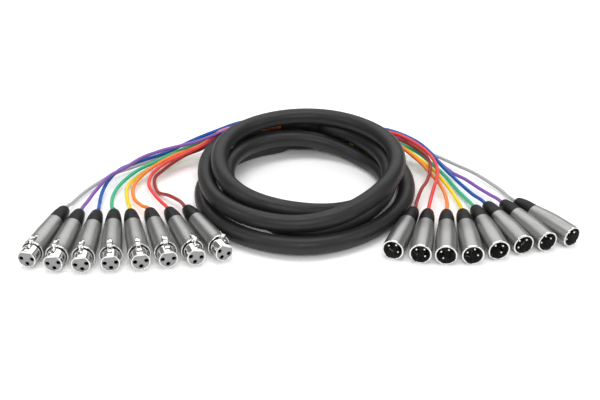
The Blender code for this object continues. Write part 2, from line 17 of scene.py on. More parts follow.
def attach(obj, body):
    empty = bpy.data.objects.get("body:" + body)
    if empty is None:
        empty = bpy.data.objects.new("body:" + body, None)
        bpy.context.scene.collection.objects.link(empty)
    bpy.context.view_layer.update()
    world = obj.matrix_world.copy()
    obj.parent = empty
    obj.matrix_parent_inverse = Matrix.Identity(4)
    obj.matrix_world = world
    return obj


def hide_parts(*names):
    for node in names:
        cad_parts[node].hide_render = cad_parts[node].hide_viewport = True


bl_info = {
    "name": "Audio snake cable",
    "version": (1, 0, 0),
    "blender": (4, 5, 0),
    "location": "3D View > Sidebar > Snake",
    "description": "Dresses the packed audio snake cable: trunk, leads, sleeves and plugs",
    "category": "Object",
}

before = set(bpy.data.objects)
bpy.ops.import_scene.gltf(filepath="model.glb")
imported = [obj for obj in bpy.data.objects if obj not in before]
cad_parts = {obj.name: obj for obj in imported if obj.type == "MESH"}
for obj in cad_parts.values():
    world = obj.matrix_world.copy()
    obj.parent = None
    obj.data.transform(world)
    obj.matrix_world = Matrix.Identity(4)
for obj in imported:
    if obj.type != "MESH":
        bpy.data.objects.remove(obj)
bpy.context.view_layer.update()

MM = 0.001
BODY = "snake"

# Fits and meshes
SEAT_GAP = 0.3 * MM
LATCH_SIDE_GAP = 0.3 * MM
LATCH_END_GAP = 0.7 * MM
LEAD_SPACING = 0.68 * MM
MERGE_DISTANCE = 1e-7
SHARP_ANGLE = math.radians(38)
BEVEL_ANGLE = math.radians(40)
BEVEL_SEGMENTS = 3
ROUND_SEGMENTS = 96
SMALL_SEGMENTS = 32
# A rounded corner: its steps, the most of an edge that it takes, and where its holding points lie
CORNER_STEPS = 5
CORNER_SHARE = 0.4
CORNER_HOLD = 1.25

# Trunk: radius from the coil's middle and height at every eighth of a turn
COIL_MIDDLE = (0.5 * MM, 3.5 * MM)
TRUNK_POINTS_PER_TURN = 24
TRUNK_STEP = 3.0 * MM
TRUNK_SEGMENTS = 56
TRUNK_TURNS = (
    ((96, 9), (93, 8), (96, 8), (100, 8), (104, 10), (95, 8), (97, 8), (107, 8)),
    ((117, 8), (106, 22), (93, 25), (93, 24), (89, 23), (86, 34), (86, 41), (86, 42)),
    ((89, 41), (88, 39), (80, 38), (78, 32), (69, 23), (60, 10), (78, 8), (82, 8)),
    ((82, 19), (80, 22), (74, 22), (71, 15), (79, 8), (81, 17), (80, 25), (87, 25)),
)
TRUNK_END_STATION = (102, 26)
TRUNK_LEAN_BEFORE = (119, 16)
TRUNK_LEAN_AFTER = (117, 28)
LEFT_SLEEVE_HEADING = (-1.0, -0.03, 0.04)
RIGHT_SLEEVE_HEADING = (1.0, -0.05, 0.05)
SLEEVE_LAP = 7.0 * MM
SLEEVE_SKIN = 0.4 * MM
SLEEVE_SHOULDER = 2.0 * MM
SLEEVE_TAPER_END = 6.0 * MM
SLEEVE_LIP_WIDTH = 1.4 * MM
SLEEVE_LIP_DEPTH = 0.5 * MM
# Dips in the sleeve between the leads: their depth as a share of its radius, and how far they
# start from the trunk and end from the tip
SLEEVE_DIP = 0.05
SLEEVE_DIP_START = 6.0 * MM
SLEEVE_DIP_END = 2.0 * MM

# Leads
LEAD_STRAIGHT_END = 4.0 * MM
LEAD_STEP = 1.6 * MM
LEAD_SEGMENTS = 28
LEAD_TUCK = 3.0 * MM
OUTER_LEADS = 7
# How far in a tube's end rings lie, and how wide they are, as shares of its radius
TUBE_CAP = ((0.0, 0.0), (0.0, 0.8), (0.06, 0.94), (0.2, 1.0))

# Plugs: middle of the front face (x, y), turn of the tail and roll, in millimetres and degrees
SOCKET_PLUGS = (
    (-233.3, -121.2, 10.5, 0),
    (-209.8, -127.6, 4.3, -8),
    (-186.1, -129.3, -1, -8),
    (-161.8, -127.3, -7.4, -2),
    (-136.7, -125, -14.8, 0),
    (-114.1, -121.3, -18.7, 5),
    (-90.9, -118.1, -23, 17),
    (-67.8, -111.2, -28.6, 30),
)
PIN_PLUGS = (
    (74.8, -106.9, 20.7, 209),
    (97.8, -113.2, 11.8, 217),
    (119.2, -115.2, 7.9, 115),
    (142.1, -114.8, 1, 197),
    (165.5, -107.5, -7.9, 232),
    (188.2, -98.9, -17, 137),
    (209.7, -93.9, -22, 167),
    (233, -86, -31.5, 152),
)
SOCKET_LEADS = ("grey", "violet", "blue", "green", "yellow", "orange", "red", "brown")
PIN_LEADS = ("brown", "red", "orange", "yellow", "green", "blue", "violet", "grey")
LEFT_SLEEVE_ORDER = (4, 2, 3, 5, 1, 8, 6, 7)
RIGHT_SLEEVE_ORDER = (1, 2, 3, 4, 5, 8, 7, 6)
SOCKET_LEAD_ROUTES = (
    ((-40, 107, 25), (-65, 103, 26), (-89, 98, 12), (-120, 81, 10), (-146, 63, 9),
     (-168, 54, 4), (-186, 37, 5), (-200, 19, 4), (-212, -5, 4), (-216, -20, 5)),
    ((-41, 98, 34), (-60, 85, 36), (-82, 71, 34), (-103, 66, 27), (-145, 57, 19),
     (-160, 48, 17), (-174, 33, 14), (-187, 15, 14), (-197, -4, 9), (-201, -21, 8)),
    ((-44, 101, 32), (-62, 96, 33), (-92, 85, 27), (-109, 82, 21), (-137, 66, 14),
     (-164, 48, 12), (-180, 32, 12), (-186, 22, 10), (-191, -1, 7), (-190, -25, 6)),
    ((-48, 100, 28), (-69, 95, 28), (-86, 88, 21), (-107, 74, 20), (-128, 62, 16),
     (-151, 42, 13), (-163, 27, 13), (-175, 16, 7), (-180, -11, 6), (-177, -31, 6)),
    ((-44, 106, 30), (-66, 100, 29), (-89, 91, 21), (-104, 81, 19), (-131, 66, 11),
     (-147, 50, 8), (-162, 29, 6), (-169, 15, 5), (-167, -9, 3), (-162, -26, 5)),
    ((-46, 92, 26), (-59, 89, 30), (-85, 79, 30), (-99, 73, 21), (-131, 55, 15),
     (-147, 40, 12), (-155, 29, 10), (-163, 5, 7), (-160, -11, 5), (-150, -27, 6)),
    ((-44, 91, 33), (-59, 85, 32), (-82, 76, 32), (-97, 67, 24), (-122, 54, 16),
     (-136, 40, 15), (-147, 27, 11), (-149, 12, 8), (-142, -6, 7), (-134, -20, 7)),
    ((-42, 98, 24), (-60, 93, 30), (-82, 84, 29), (-101, 74, 15), (-120, 61, 12),
     (-139, 40, 7), (-145, 27, 6), (-140, 6, 2), (-127, -8, 6), (-116, -20, 7)),
)
PIN_LEAD_ROUTES = (
    ((38, 95, 14), (54, 89, 21), (66, 82, 27), (86, 67, 31), (111, 67, 19),
     (122, 46, 17), (122, 25, 17), (117, 8, 13), (110, -8, 13), (104, -24, 8)),
    ((38, 97, 18), (59, 92, 24), (77, 85, 28), (95, 72, 30), (113, 58, 26),
     (124, 42, 22), (128, 25, 19), (126, 7, 16), (122, -6, 14), (117, -23, 10)),
    ((40, 89, 15), (56, 86, 18), (65, 80, 23), (90, 68, 25), (102, 56, 20),
     (116, 34, 16), (125, 18, 11), (129, 5, 11), (132, -12, 9), (132, -27, 8)),
    ((43, 88, 11), (58, 82, 16), (82, 72, 22), (94, 71, 19), (111, 53, 16),
     (121, 40, 13), (130, 25, 10), (136, 10, 8), (143, -18, 6), (144, -29, 7)),
    ((36, 94, 7), (58, 89, 16), (75, 80, 21), (83, 80, 20), (115, 63, 14),
     (126, 47, 11), (136, 30, 8), (146, 7, 4), (150, -4, 4), (155, -26, 7)),
    ((39, 101, 19), (55, 99, 24), (85, 90, 27), (101, 82, 25), (118, 68, 21),
     (125, 59, 18), (136, 38, 12), (144, 21, 10), (153, 3, 8), (158, -6, 7)),
    ((40, 100, 15), (50, 99, 19), (87, 91, 20), (92, 88, 21), (114, 73, 17),
     (130, 56, 12), (146, 34, 7), (156, 22, 7), (167, 6, 6), (175, -6, 6)),
    ((39, 98, 11), (56, 92, 18), (92, 93, 13), (111, 81, 12), (134, 66, 9),
     (151, 54, 6), (165, 41, 5), (182, 17, 4), (189, 6, 3), (191, 1, 3)),
)


# Colours and properties

def srgb(hex_colour):
    """Turn an sRGB hex colour into three linear channels."""
    channels = np.array([int(hex_colour[i:i + 2], 16) for i in (1, 3, 5)]) / 255
    low = channels / 12.92
    high = ((channels + 0.055) / 1.055) ** 2.4
    return tuple(np.where(channels <= 0.04045, low, high).tolist())


def length(label, millimetres):
    """A size in the sidebar, given in millimetres and kept in metres."""
    return FloatProperty(name=label, description=label, default=millimetres * MM, min=0.0,
                         unit="LENGTH", subtype="DISTANCE", precision=5)


def colour(label, hex_colour):
    """A colour in the sidebar, given as sRGB hex and kept linear."""
    return FloatVectorProperty(name=label, description=label, default=srgb(hex_colour),
                               min=0.0, max=1.0, size=3, subtype="COLOR")


class SnakeCableSizes(bpy.types.PropertyGroup):
    """Sizes of the trunk, the sleeves and the leads."""
    trunk_diameter: length("Outside of the trunk's jacket", 16.0)
    sleeve_length: length("Sleeve past the trunk's end", 24.0)
    sleeve_tip: length("Outside of the sleeve where the leads leave", 13.8)
    lead_diameter: length("Outside of one lead's jacket", 3.4)


class SnakeSocketSizes(bpy.types.PropertyGroup):
    """Sizes of the socket plugs."""
    nose_diameter: length("Outside of the nose tube", 16.2)
    nose_wall: length("Wall of the nose tube", 1.1)
    nose_reach: length("Nose in front of the rim", 12.0)
    recess_width: length("Ring gap between nose and rim", 0.9)
    recess_depth: length("Depth of that gap", 4.0)
    rim_wall: length("Wall of the rim", 0.85)
    shell_length: length("Shell from its rim to the boot", 48.1)
    rear_wall: length("Wall of the shell at the boot", 0.85)
    hole_diameter: length("Diameter of a contact hole", 3.7)
    contact_radius: length("Radius of the circle of contacts", 4.75)
    latch_width: length("Width of the latch", 4.2)
    boot_diameter: length("Collar of the boot", 15.2)
    boot_length: length("Boot from collar to tail", 22.2)


class SnakePinSizes(bpy.types.PropertyGroup):
    """Sizes of the pin plugs."""
    shell_diameter: length("Outside of the straight sleeve", 19.0)
    shell_wall: length("Wall of the straight sleeve", 1.35)
    shell_straight: length("Straight part of the sleeve", 28.0)
    shell_length: length("Shell from its rim to the boot", 48.3)
    rear_diameter: length("Outside of the shell at the boot", 15.2)
    insert_depth: length("Insert's face behind the rim", 15.0)
    pin_diameter: length("Diameter of a contact pin", 2.4)
    pin_length: length("Pin in front of the insert", 13.0)
    key_width: length("Width of the key slot", 4.4)
    boot_diameter: length("Collar of the boot", 14.8)
    boot_length: length("Boot from collar to tail", 21.9)


class SnakeColours(bpy.types.PropertyGroup):
    """Colours of the materials."""
    trunk: colour("Jacket of the trunk", "#1F1F20")
    sleeve: colour("Shrunk sleeve", "#141415")
    boot: colour("Moulded boot", "#0A0A0A")
    shell: colour("Satin nickel", "#B4B4B3")
    bright: colour("Polished nickel", "#E6E5E3")
    socket_insert: colour("Insert of a socket plug", "#A0A0A1")
    pin_insert: colour("Insert of a pin plug", "#0C0C0C")
    # Painted shade: the contact's colour is near-black for the shade in its hole, not its gold
    contact: colour("Contact, dark in its hole", "#1C1710")
    brown: colour("Brown lead", "#A33C36")
    red: colour("Red lead", "#F2484A")
    orange: colour("Orange lead", "#FF8A38")
    yellow: colour("Yellow lead", "#FFDE00")
    green: colour("Green lead", "#34BA8A")
    blue: colour("Blue lead", "#005AB0")
    violet: colour("Violet lead", "#8D5CB6")
    grey: colour("Grey lead", "#B2B2B2")


# Meshes

def unit(vectors):
    """Vectors along the last axis, each divided by its length."""
    vectors = np.asarray(vectors, dtype=float)
    return vectors / np.linalg.norm(vectors, axis=-1, keepdims=True)


def rounded(corners):
    """Round an outline's corners, given as rows of (radius, z, rounding).

    Each corner becomes a quadratic curve from a point on the edge before it to one on the edge
    after it, with one more point beyond each to hold the flats: (1-u)^2 A + 2u(1-u) P + u^2 B.
    """
    corners = np.asarray(corners, dtype=float)
    point, rounding = corners[:, :2], corners[:, 2:]
    before = np.roll(point, 1, axis=0) - point
    after = np.roll(point, -1, axis=0) - point
    reach_before = np.linalg.norm(before, axis=1, keepdims=True)
    reach_after = np.linalg.norm(after, axis=1, keepdims=True)
    cut = np.minimum(rounding, CORNER_SHARE * np.minimum(reach_before, reach_after))
    first = point + before / reach_before * cut
    last = point + after / reach_after * cut
    hold_first = point + before / reach_before * cut * CORNER_HOLD
    hold_last = point + after / reach_after * cut * CORNER_HOLD
    u = np.linspace(0.0, 1.0, CORNER_STEPS + 1)[None, :, None]
    curve = ((1 - u) ** 2 * first[:, None] + 2 * u * (1 - u) * point[:, None]
             + u ** 2 * last[:, None])
    rows = np.concatenate((hold_first[:, None], curve, hold_last[:, None]), axis=1)
    return rows.reshape(-1, 2)


def new_object(name, data):
    """An object in the scene."""
    obj = bpy.data.objects.new(name, data)
    bpy.context.scene.collection.objects.link(obj)
    return obj


def grid_mesh(name, grid, local, wrap_rows):
    """Join a grid of points, whose rows are rings, into quads, and close its poles and seams."""
    rows, columns = grid.shape[:2]
    row = np.arange(rows if wrap_rows else rows - 1)[:, None]
    column = np.arange(columns)[None, :]
    below, right = (row + 1) % rows, (column + 1) % columns
    quads = np.stack((row * columns + column, row * columns + right,
                      below * columns + right, below * columns + column), axis=-1)
    mesh = bpy.data.meshes.new(name)
    mesh.vertices.add(rows * columns)
    mesh.vertices.foreach_set("co", grid.astype(np.float32).ravel())
    mesh.loops.add(quads.size)
    mesh.loops.foreach_set("vertex_index", quads.astype(np.int32).ravel())
    mesh.polygons.add(quads.size // 4)
    mesh.polygons.foreach_set("loop_start", np.arange(0, quads.size, 4, dtype=np.int32))
    mesh.update(calc_edges=True)
    set_local(mesh, local)
    return cleaned(mesh)


def set_local(mesh, local):
    """Keep each vertex's own coordinates in the attribute "local"."""
    kept = mesh.attributes.get("local") or mesh.attributes.new("local", "FLOAT_VECTOR", "POINT")
    kept.data.foreach_set("vector", np.asarray(local, dtype=np.float32).ravel())


def cleaned(mesh):
    """Merge doubled points and turn every face outwards."""
    shape = bmesh.new()
    shape.from_mesh(mesh)
    bmesh.ops.remove_doubles(shape, verts=shape.verts, dist=MERGE_DISTANCE)
    bmesh.ops.dissolve_degenerate(shape, edges=shape.edges, dist=MERGE_DISTANCE)
    bmesh.ops.recalc_face_normals(shape, faces=shape.faces)
    shape.to_mesh(mesh)
    shape.free()
    return mesh


def turned(name, outline, ring_closed, segments=ROUND_SEGMENTS, middle=(0.0, 0.0), lobes=None):
    """Turn an outline of (radius, z) about local Z.

    A point is (x + r cos a, y + r sin a, z). `lobes`, if given, changes r by angle and z.
    """
    angle = np.arange(segments) * 2 * math.pi / segments
    radius, z = outline[:, :1], outline[:, 1:]
    if lobes is not None:
        radius = radius * lobes(angle[None, :], z)
    x = middle[0] + radius * np.cos(angle)
    y = middle[1] + radius * np.sin(angle)
    grid = np.stack((x, y, z + 0 * x), axis=-1)
    return grid_mesh(name, grid, grid, ring_closed)


def box_mesh(name, low, high):
    """A box between two corners: the corner grid (x, y, z) of two values each."""
    (x0, y0, z0), (x1, y1, z1) = low, high
    ring = np.array(((x0, y0), (x1, y0), (x1, y1), (x0, y1)))
    middle = ring.mean(axis=0)
    rings = np.stack((0 * ring + middle, ring, ring, 0 * ring + middle))
    z = np.array((z0, z0, z1, z1))[:, None, None] + np.zeros((4, 4, 1))
    grid = np.concatenate((rings, z), axis=-1)
    return grid_mesh(name, grid, grid, False)


def extruded(name, outline, half_width):
    """Carry a closed outline of (z, y) straight across x, with both sides filled."""
    outline = np.asarray(outline, dtype=float)
    count = len(outline)
    x = np.array((-1.0, 1.0))[:, None] * half_width + np.zeros((2, count))
    points = np.stack((x, outline[:, 1] + 0 * x, outline[:, 0] + 0 * x), axis=-1)
    index = np.arange(count)
    after = (index + 1) % count
    sides = np.stack((index, after, after + count, index + count), axis=-1).tolist()
    mesh = bpy.data.meshes.new(name)
    mesh.from_pydata(points.reshape(-1, 3).tolist(), [],
                     sides + [index.tolist(), (index + count)[::-1].tolist()])
    return cleaned(mesh)


def with_tools(mesh, tools, bevel=0.0):
    """Cut meshes from a mesh with the exact solver, bevel if asked, and return a plain mesh."""
    base = new_object(mesh.name + "_base", mesh)
    helpers = [base]
    for i, tool in enumerate(tools):
        helper = new_object(f"{mesh.name}_tool_{i}", tool)
        helpers.append(helper)
        step = base.modifiers.new("Tool", "BOOLEAN")
        step.operation = "DIFFERENCE"
        step.solver = "EXACT"
        step.object = helper
    if bevel > 0:
        edge = base.modifiers.new("Edge", "BEVEL")
        edge.width = bevel
        edge.segments = BEVEL_SEGMENTS
        edge.limit_method = "ANGLE"
        edge.angle_limit = BEVEL_ANGLE
    evaluated = base.evaluated_get(bpy.context.evaluated_depsgraph_get())
    result = bpy.data.meshes.new_from_object(evaluated)
    for helper in helpers:
        bpy.data.objects.remove(helper)
    return with_own_local(result)


def joined(name, meshes):
    """Several meshes as one, each kept as its own closed surface."""
    shape = bmesh.new()
    for mesh in meshes:
        shape.from_mesh(mesh)
    result = bpy.data.meshes.new(name)
    shape.to_mesh(result)
    shape.free()
    return with_own_local(result)


def with_own_local(mesh):
    """Take the mesh's places, before it is placed, as its local coordinates."""
    points = np.zeros(len(mesh.vertices) * 3, np.float32)
    mesh.vertices.foreach_get("co", points)
    set_local(mesh, points)
    return mesh


def add_piece(name, mesh, material, body, nodes, place=None):
    """Put a mesh where it belongs and hand it to the frame."""
    if place is not None:
        mesh.transform(place)
    mesh.name = name
    mesh.shade_smooth()
    mesh.set_sharp_from_angle(angle=SHARP_ANGLE)
    mesh.materials.clear()
    mesh.materials.append(material)
    obj = new_object(name, mesh)
    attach(obj, body)
    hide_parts(*nodes)
    return obj


# Paths

def through_stations(stations, steps):
    """Points on a uniform Catmull-Rom curve through evenly spaced stations.

    Between b and c it is (2b + (c-a)u + (2a-5b+4c-d)u^2 + (3b-a-3c+d)u^3) / 2. The first and
    last stations only set how the curve leans at its ends.
    """
    stations = np.asarray(stations, dtype=float)
    spans = len(stations) - 3
    t = np.linspace(0.0, spans, spans * steps + 1)
    span = np.minimum(t.astype(int), spans - 1)
    u = (t - span)[:, None]
    a, b, c, d = (stations[span + k] for k in range(4))
    return 0.5 * (2 * b + (c - a) * u + (2 * a - 5 * b + 4 * c - d) * u ** 2
                  + (3 * b - a - 3 * c + d) * u ** 3)


def through_points(knots, step):
    """Points, about a step apart, on a smooth curve through knots of any spacing.

    A cubic runs between each two knots. Its slope at a knot is the mean of the slopes on both
    sides, each weighted by the other side's length. The first and last spans are straight lines.
    """
    gap = np.diff(knots, axis=0)
    reach = np.linalg.norm(gap, axis=1)[:, None]
    run = np.concatenate(([0.0], np.cumsum(reach[:, 0])))
    slope = gap / reach
    lean = np.vstack((
        slope[:1], (slope[:-1] * reach[1:] + slope[1:] * reach[:-1]) / (reach[1:] + reach[:-1]),
        slope[-1:]))
    lean[1], lean[-2] = slope[0], slope[-1]
    read = np.linspace(0.0, run[-1], int(run[-1] / step) + 1)
    span = np.clip(np.searchsorted(run, read, side="right") - 1, 0, len(knots) - 2)
    u = ((read - run[span]) / reach[span, 0])[:, None]
    h = reach[span]
    return ((2 * u ** 3 - 3 * u ** 2 + 1) * knots[span] + (u ** 3 - 2 * u ** 2 + u) * h * lean[span]
            + (3 * u ** 2 - 2 * u ** 3) * knots[span + 1] + (u ** 3 - u ** 2) * h * lean[span + 1])


def trunk_line(diameter):
    """The trunk's middle line: the turns, with one straight diameter at each end."""
    stations = [TRUNK_LEAN_BEFORE]
    for turn in TRUNK_TURNS:
        stations += turn
    stations += [TRUNK_END_STATION, TRUNK_LEAN_AFTER]
    line = through_stations(stations, TRUNK_POINTS_PER_TURN // len(TRUNK_TURNS[0])) * MM
    angle = math.pi / 2 + np.arange(len(line)) * 2 * math.pi / TRUNK_POINTS_PER_TURN
    points = np.column_stack((
        COIL_MIDDLE[0] + line[:, 0] * np.cos(angle),
        COIL_MIDDLE[1] + line[:, 0] * np.sin(angle),
        np.maximum(line[:, 1], diameter / 2)))
    start_knee = points[0] - unit(RIGHT_SLEEVE_HEADING) * diameter
    end_knee = points[-1] - unit(LEFT_SLEEVE_HEADING) * diameter
    return np.vstack((points[:1], start_knee, points[1:-1], end_knee, points[-1:]))


def sleeve_frame(trunk_end, heading):
    """Where a sleeve lies: local Z out of the trunk's end, local Y up, local X across."""
    along = unit(heading)
    up = unit(np.array((0.0, 0.0, 1.0)) - along[2] * along)
    across = np.cross(along, up)
    placed = np.eye(4)
    placed[:3, 0], placed[:3, 1], placed[:3, 2] = across, up, along
    placed[:3, 3] = trunk_end + along * SEAT_GAP
    return placed


def lead_exits(trunk_end, heading, order, sizes):
    """Where each lead leaves the sleeve's tip, by plug number: one in the middle, seven round."""
    placed = sleeve_frame(trunk_end, heading)
    tip = placed[:3, 3] + placed[:3, 2] * (sizes.sleeve_length + SEAT_GAP)
    ring = (sizes.lead_diameter + LEAD_SPACING) / (2 * math.sin(math.pi / OUTER_LEADS))
    exits = {order[0]: tip}
    for i, number in enumerate(order[1:]):
        angle = math.pi / 2 - 2 * math.pi * i / OUTER_LEADS
        exits[number] = tip + ring * (
            math.sin(angle) * placed[:3, 1] + math.cos(angle) * placed[:3, 0])
    return exits


def plug_frame(place, axis_height):
    """Where a plug lies: local Z out of its front, local Y to its top."""
    x, y, yaw, roll = place
    yaw, roll = math.radians(yaw), math.radians(roll)
    front = Vector((-math.sin(yaw), -math.cos(yaw), 0.0))
    right = Vector((math.cos(yaw), -math.sin(yaw), 0.0))
    top = math.cos(roll) * Vector((0.0, 0.0, 1.0)) + math.sin(roll) * right
    placed = Matrix((top.cross(front), top, front)).transposed().to_4x4()
    placed.translation = (x * MM, y * MM, axis_height)
    return placed


def tube_mesh(name, path, radius, segments):
    """Carry a circle along a path: p + r (cos a * side + sin a * up).

    `side` is level and square to the path, `up` square to both. Rings that shrink to the middle
    close the ends. The local coordinates are those of the same tube laid straight along Z.
    """
    cap = np.array(TUBE_CAP)
    along = unit(np.gradient(path, axis=0))
    inset = cap[:, :1] * radius
    centre = np.vstack((path[0] + along[0] * inset, path[1:-1],
                        path[-1] - along[-1] * inset[::-1]))
    width = np.concatenate((cap[:, 1], np.ones(len(path) - 2), cap[::-1, 1])) * radius
    along = np.vstack((np.repeat(along[:1], len(cap), axis=0), along[1:-1],
                       np.repeat(along[-1:], len(cap), axis=0)))
    side = unit(np.cross(along, (0.0, 0.0, 1.0)))
    up = np.cross(side, along)
    angle = np.arange(segments) * 2 * math.pi / segments
    cosine, sine = np.cos(angle)[None, :, None], np.sin(angle)[None, :, None]
    wide = width[:, None, None]
    grid = centre[:, None] + wide * (cosine * side[:, None] + sine * up[:, None])
    run = np.concatenate(([0.0], np.cumsum(np.linalg.norm(np.diff(centre, axis=0), axis=1))))
    local = np.concatenate((wide * cosine, wide * sine, run[:, None, None] + 0 * wide * sine),
                           axis=-1)
    return grid_mesh(name, grid, local, False)


# Materials

# The part of a noise pattern's range over which the gloss changes
PATTERN_LOW = 0.3
PATTERN_HIGH = 0.7
# Clouds in a metal's colour: their size in millimetres, and how strongly they show
CLOUD_SIZE = 9.0
CLOUD_GAIN = 2.0


def add_node(tree, kind, inputs=None, **settings):
    """Add a node with its settings; an input is a value or another node's output."""
    node = tree.nodes.new(kind)
    for key, value in settings.items():
        setattr(node, key, value)
    for key, value in (inputs or {}).items():
        if isinstance(value, bpy.types.NodeSocket):
            tree.links.new(value, node.inputs[key])
        else:
            node.inputs[key].default_value = value
    return node


def new_material(name):
    """An empty node material with its output and a principled shader."""
    material = bpy.data.materials.new(name)
    material.use_nodes = True
    tree = material.node_tree
    tree.nodes.clear()
    shader = add_node(tree, "ShaderNodeBsdfPrincipled")
    add_node(tree, "ShaderNodeOutputMaterial", {"Surface": shader.outputs["BSDF"]})
    return material, tree, shader


def noise(tree, vector, size, detail, roughness):
    """A noise pattern with spots about `size` millimetres across."""
    return add_node(tree, "ShaderNodeTexNoise", {
        "Vector": vector, "Scale": 1 / (size * MM), "Detail": detail,
        "Roughness": roughness}).outputs["Fac"]


def combined(tree, operation, first, second):
    """Two values put together by one of the math node's operations."""
    return add_node(tree, "ShaderNodeMath", {0: first, 1: second}, operation=operation).outputs[0]


def vary(tree, shader, rgb, patterns, roughness, spread, depth, shade):
    """Vary the gloss, the bump and the colour, each by its own one of three patterns.

    The roughness goes `spread` to both sides, the bump is `depth` millimetres deep, and the
    colour goes towards `shade` times itself.
    """
    gloss, grain, stain = patterns
    sheen = add_node(tree, "ShaderNodeMapRange", {
        "Value": gloss, "From Min": PATTERN_LOW, "From Max": PATTERN_HIGH,
        "To Min": roughness - spread, "To Max": roughness + spread})
    bump = add_node(tree, "ShaderNodeBump", {
        "Height": grain, "Distance": depth * MM, "Strength": 1.0})
    shaded = tuple(min(1.0, channel * shade) for channel in rgb)
    tint = add_node(tree, "ShaderNodeMix", {
        0: stain, 6: (*rgb, 1.0), 7: (*shaded, 1.0)}, data_type="RGBA")
    tree.links.new(sheen.outputs["Result"], shader.inputs["Roughness"])
    tree.links.new(bump.outputs["Normal"], shader.inputs["Normal"])
    tree.links.new(tint.outputs[2], shader.inputs["Base Color"])


def plastic(name, rgb, roughness, spread, grain, depth, mottle, shade, ior):
    """A moulded or extruded plastic: fine grain in the bump, wider mottling in gloss and colour."""
    material, tree, shader = new_material(name)
    local = add_node(tree, "ShaderNodeAttribute", attribute_name="local").outputs["Vector"]
    fine = noise(tree, local, grain, 3.0, 0.6)
    wide = noise(tree, local, mottle, 4.0, 0.55)
    vary(tree, shader, rgb, (wide, fine, wide), roughness, spread, depth, shade)
    shader.inputs["IOR"].default_value = ior
    return material


def metal(name, rgb, roughness, spread, grain, depth, stretch, shade):
    """A plated metal: a grain, stretched along the part, in the bump, gloss and colour.

    The colour goes by the product of the grain and a wider cloud, times their gain.
    """
    material, tree, shader = new_material(name)
    local = add_node(tree, "ShaderNodeAttribute", attribute_name="local").outputs["Vector"]
    drawn = add_node(tree, "ShaderNodeMapping", {
        "Vector": local, "Scale": (1.0, 1.0, 1.0 / stretch)}).outputs["Vector"]
    fine = noise(tree, drawn, grain, 4.0, 0.65)
    cloud = noise(tree, local, CLOUD_SIZE, 2.0, 0.5)
    both = combined(tree, "MULTIPLY", fine, cloud)
    stain = combined(tree, "MULTIPLY", both, CLOUD_GAIN)
    vary(tree, shader, rgb, (fine, fine, stain), roughness, spread, depth, shade)
    shader.inputs["Metallic"].default_value = 1.0
    return material


# By kind: a material's name, what makes it, and its values; grain, depth and mottle in millimetres
MATERIALS = {
    # Flexible PVC, extruded: a dull satin with a fine grain and wide soft scuffs
    "trunk": ("trunk_pvc_extruded", plastic, dict(
        roughness=0.44, spread=0.05, grain=0.8, depth=0.03, mottle=14.0, shade=1.35, ior=1.42)),
    # Polyolefin, shrunk on: smooth, with a low sheen
    "sleeve": ("sleeve_polyolefin_shrunk", plastic, dict(
        roughness=0.40, spread=0.05, grain=1.2, depth=0.02, mottle=6.0, shade=1.3, ior=1.50)),
    # Thermoplastic rubber, moulded in a spark-eroded tool: black satin
    "boot": ("boot_rubber_moulded", plastic, dict(
        roughness=0.45, spread=0.04, grain=0.6, depth=0.02, mottle=5.0, shade=1.4, ior=1.38)),
    # Die-cast zinc, blasted and nickel-plated: grey satin with a faint drawn grain
    "shell": ("shell_zinc_satin_nickel", metal, dict(
        roughness=0.41, spread=0.05, grain=0.5, depth=0.012, stretch=5.0, shade=0.8)),
    # Steel and zinc, polished and nickel-plated: a mirror with faint polishing lines
    "bright": ("trim_nickel_polished", metal, dict(
        roughness=0.12, spread=0.03, grain=0.8, depth=0.004, stretch=1.0, shade=0.93)),
    # Copper alloy, gold-plated, its colour painted shade: nearly black, because hardly any light
    # reaches it in its hole
    "contact": ("contact_copper_gilt", metal, dict(
        roughness=0.25, spread=0.05, grain=0.5, depth=0.004, stretch=1.0, shade=0.8)),
}
# Glass-filled polyester, moulded: matt, with a very fine grain
INSERT_FINISH = dict(
    roughness=0.50, spread=0.05, grain=0.5, depth=0.012, mottle=4.0, shade=0.88, ior=1.56)
MATERIALS["socket_insert"] = ("insert_polyester_grey_moulded", plastic, INSERT_FINISH)
MATERIALS["pin_insert"] = ("insert_polyester_black_moulded", plastic, INSERT_FINISH)
# Soft PVC, extruded: brighter gloss than the trunk, even colour
LEAD_FINISH = dict(
    roughness=0.38, spread=0.05, grain=0.5, depth=0.012, mottle=8.0, shade=0.9, ior=1.42)
MATERIALS.update({tint: (f"lead_pvc_extruded_{tint}", plastic, LEAD_FINISH)
                  for tint in SOCKET_LEADS})


def material_for(kind):
    """The material of that kind, made the first time it is asked for."""
    name, make, values = MATERIALS[kind]
    made = bpy.data.materials.get(name)
    if made is None:
        made = make(name, tuple(getattr(bpy.context.scene.snake_colours, kind)), **values)
    return made


# Stage

CAMERA_PLACE = (-0.004, -0.783, 0.4542)
CAMERA_AIM = (-0.004, -0.006, 0.0)
CAMERA_LENS = 57.0
SENSOR_WIDTH = 36.0
FLOOR_SIZE = 12.0
FLOOR_DROP = 0.0002
# Distances from the middle between which the floor turns into the surround
FLOOR_FADE = (0.45, 0.9)
# The floor's level for the light it gives the object, and as it is seen
FLOOR_LIT = 0.80
FLOOR_SEEN = 1.12
# name, place, aim, width, depth, power in watts
LAMPS = (
    ("lamp_above", (0.0, 0.10, 1.20), (0.0, 0.0, 0.0), 1.1, 0.6, 7.0),
    ("lamp_behind", (0.0, 0.95, 0.80), (0.0, 0.0, 0.0), 1.8, 0.5, 5.5),
    ("lamp_front", (0.0, -1.20, 0.90), (0.0, 0.0, 0.0), 0.9, 0.4, 6.0),
    ("lamp_left", (-1.0, -0.45, 0.70), (-0.1, -0.05, 0.0), 0.5, 0.5, 2.5),
    ("lamp_right", (1.0, -0.45, 0.70), (0.1, -0.05, 0.0), 0.5, 0.5, 2.5),
)
WORLD_LEVEL = 0.38
WORLD_MIRRORED = 0.22


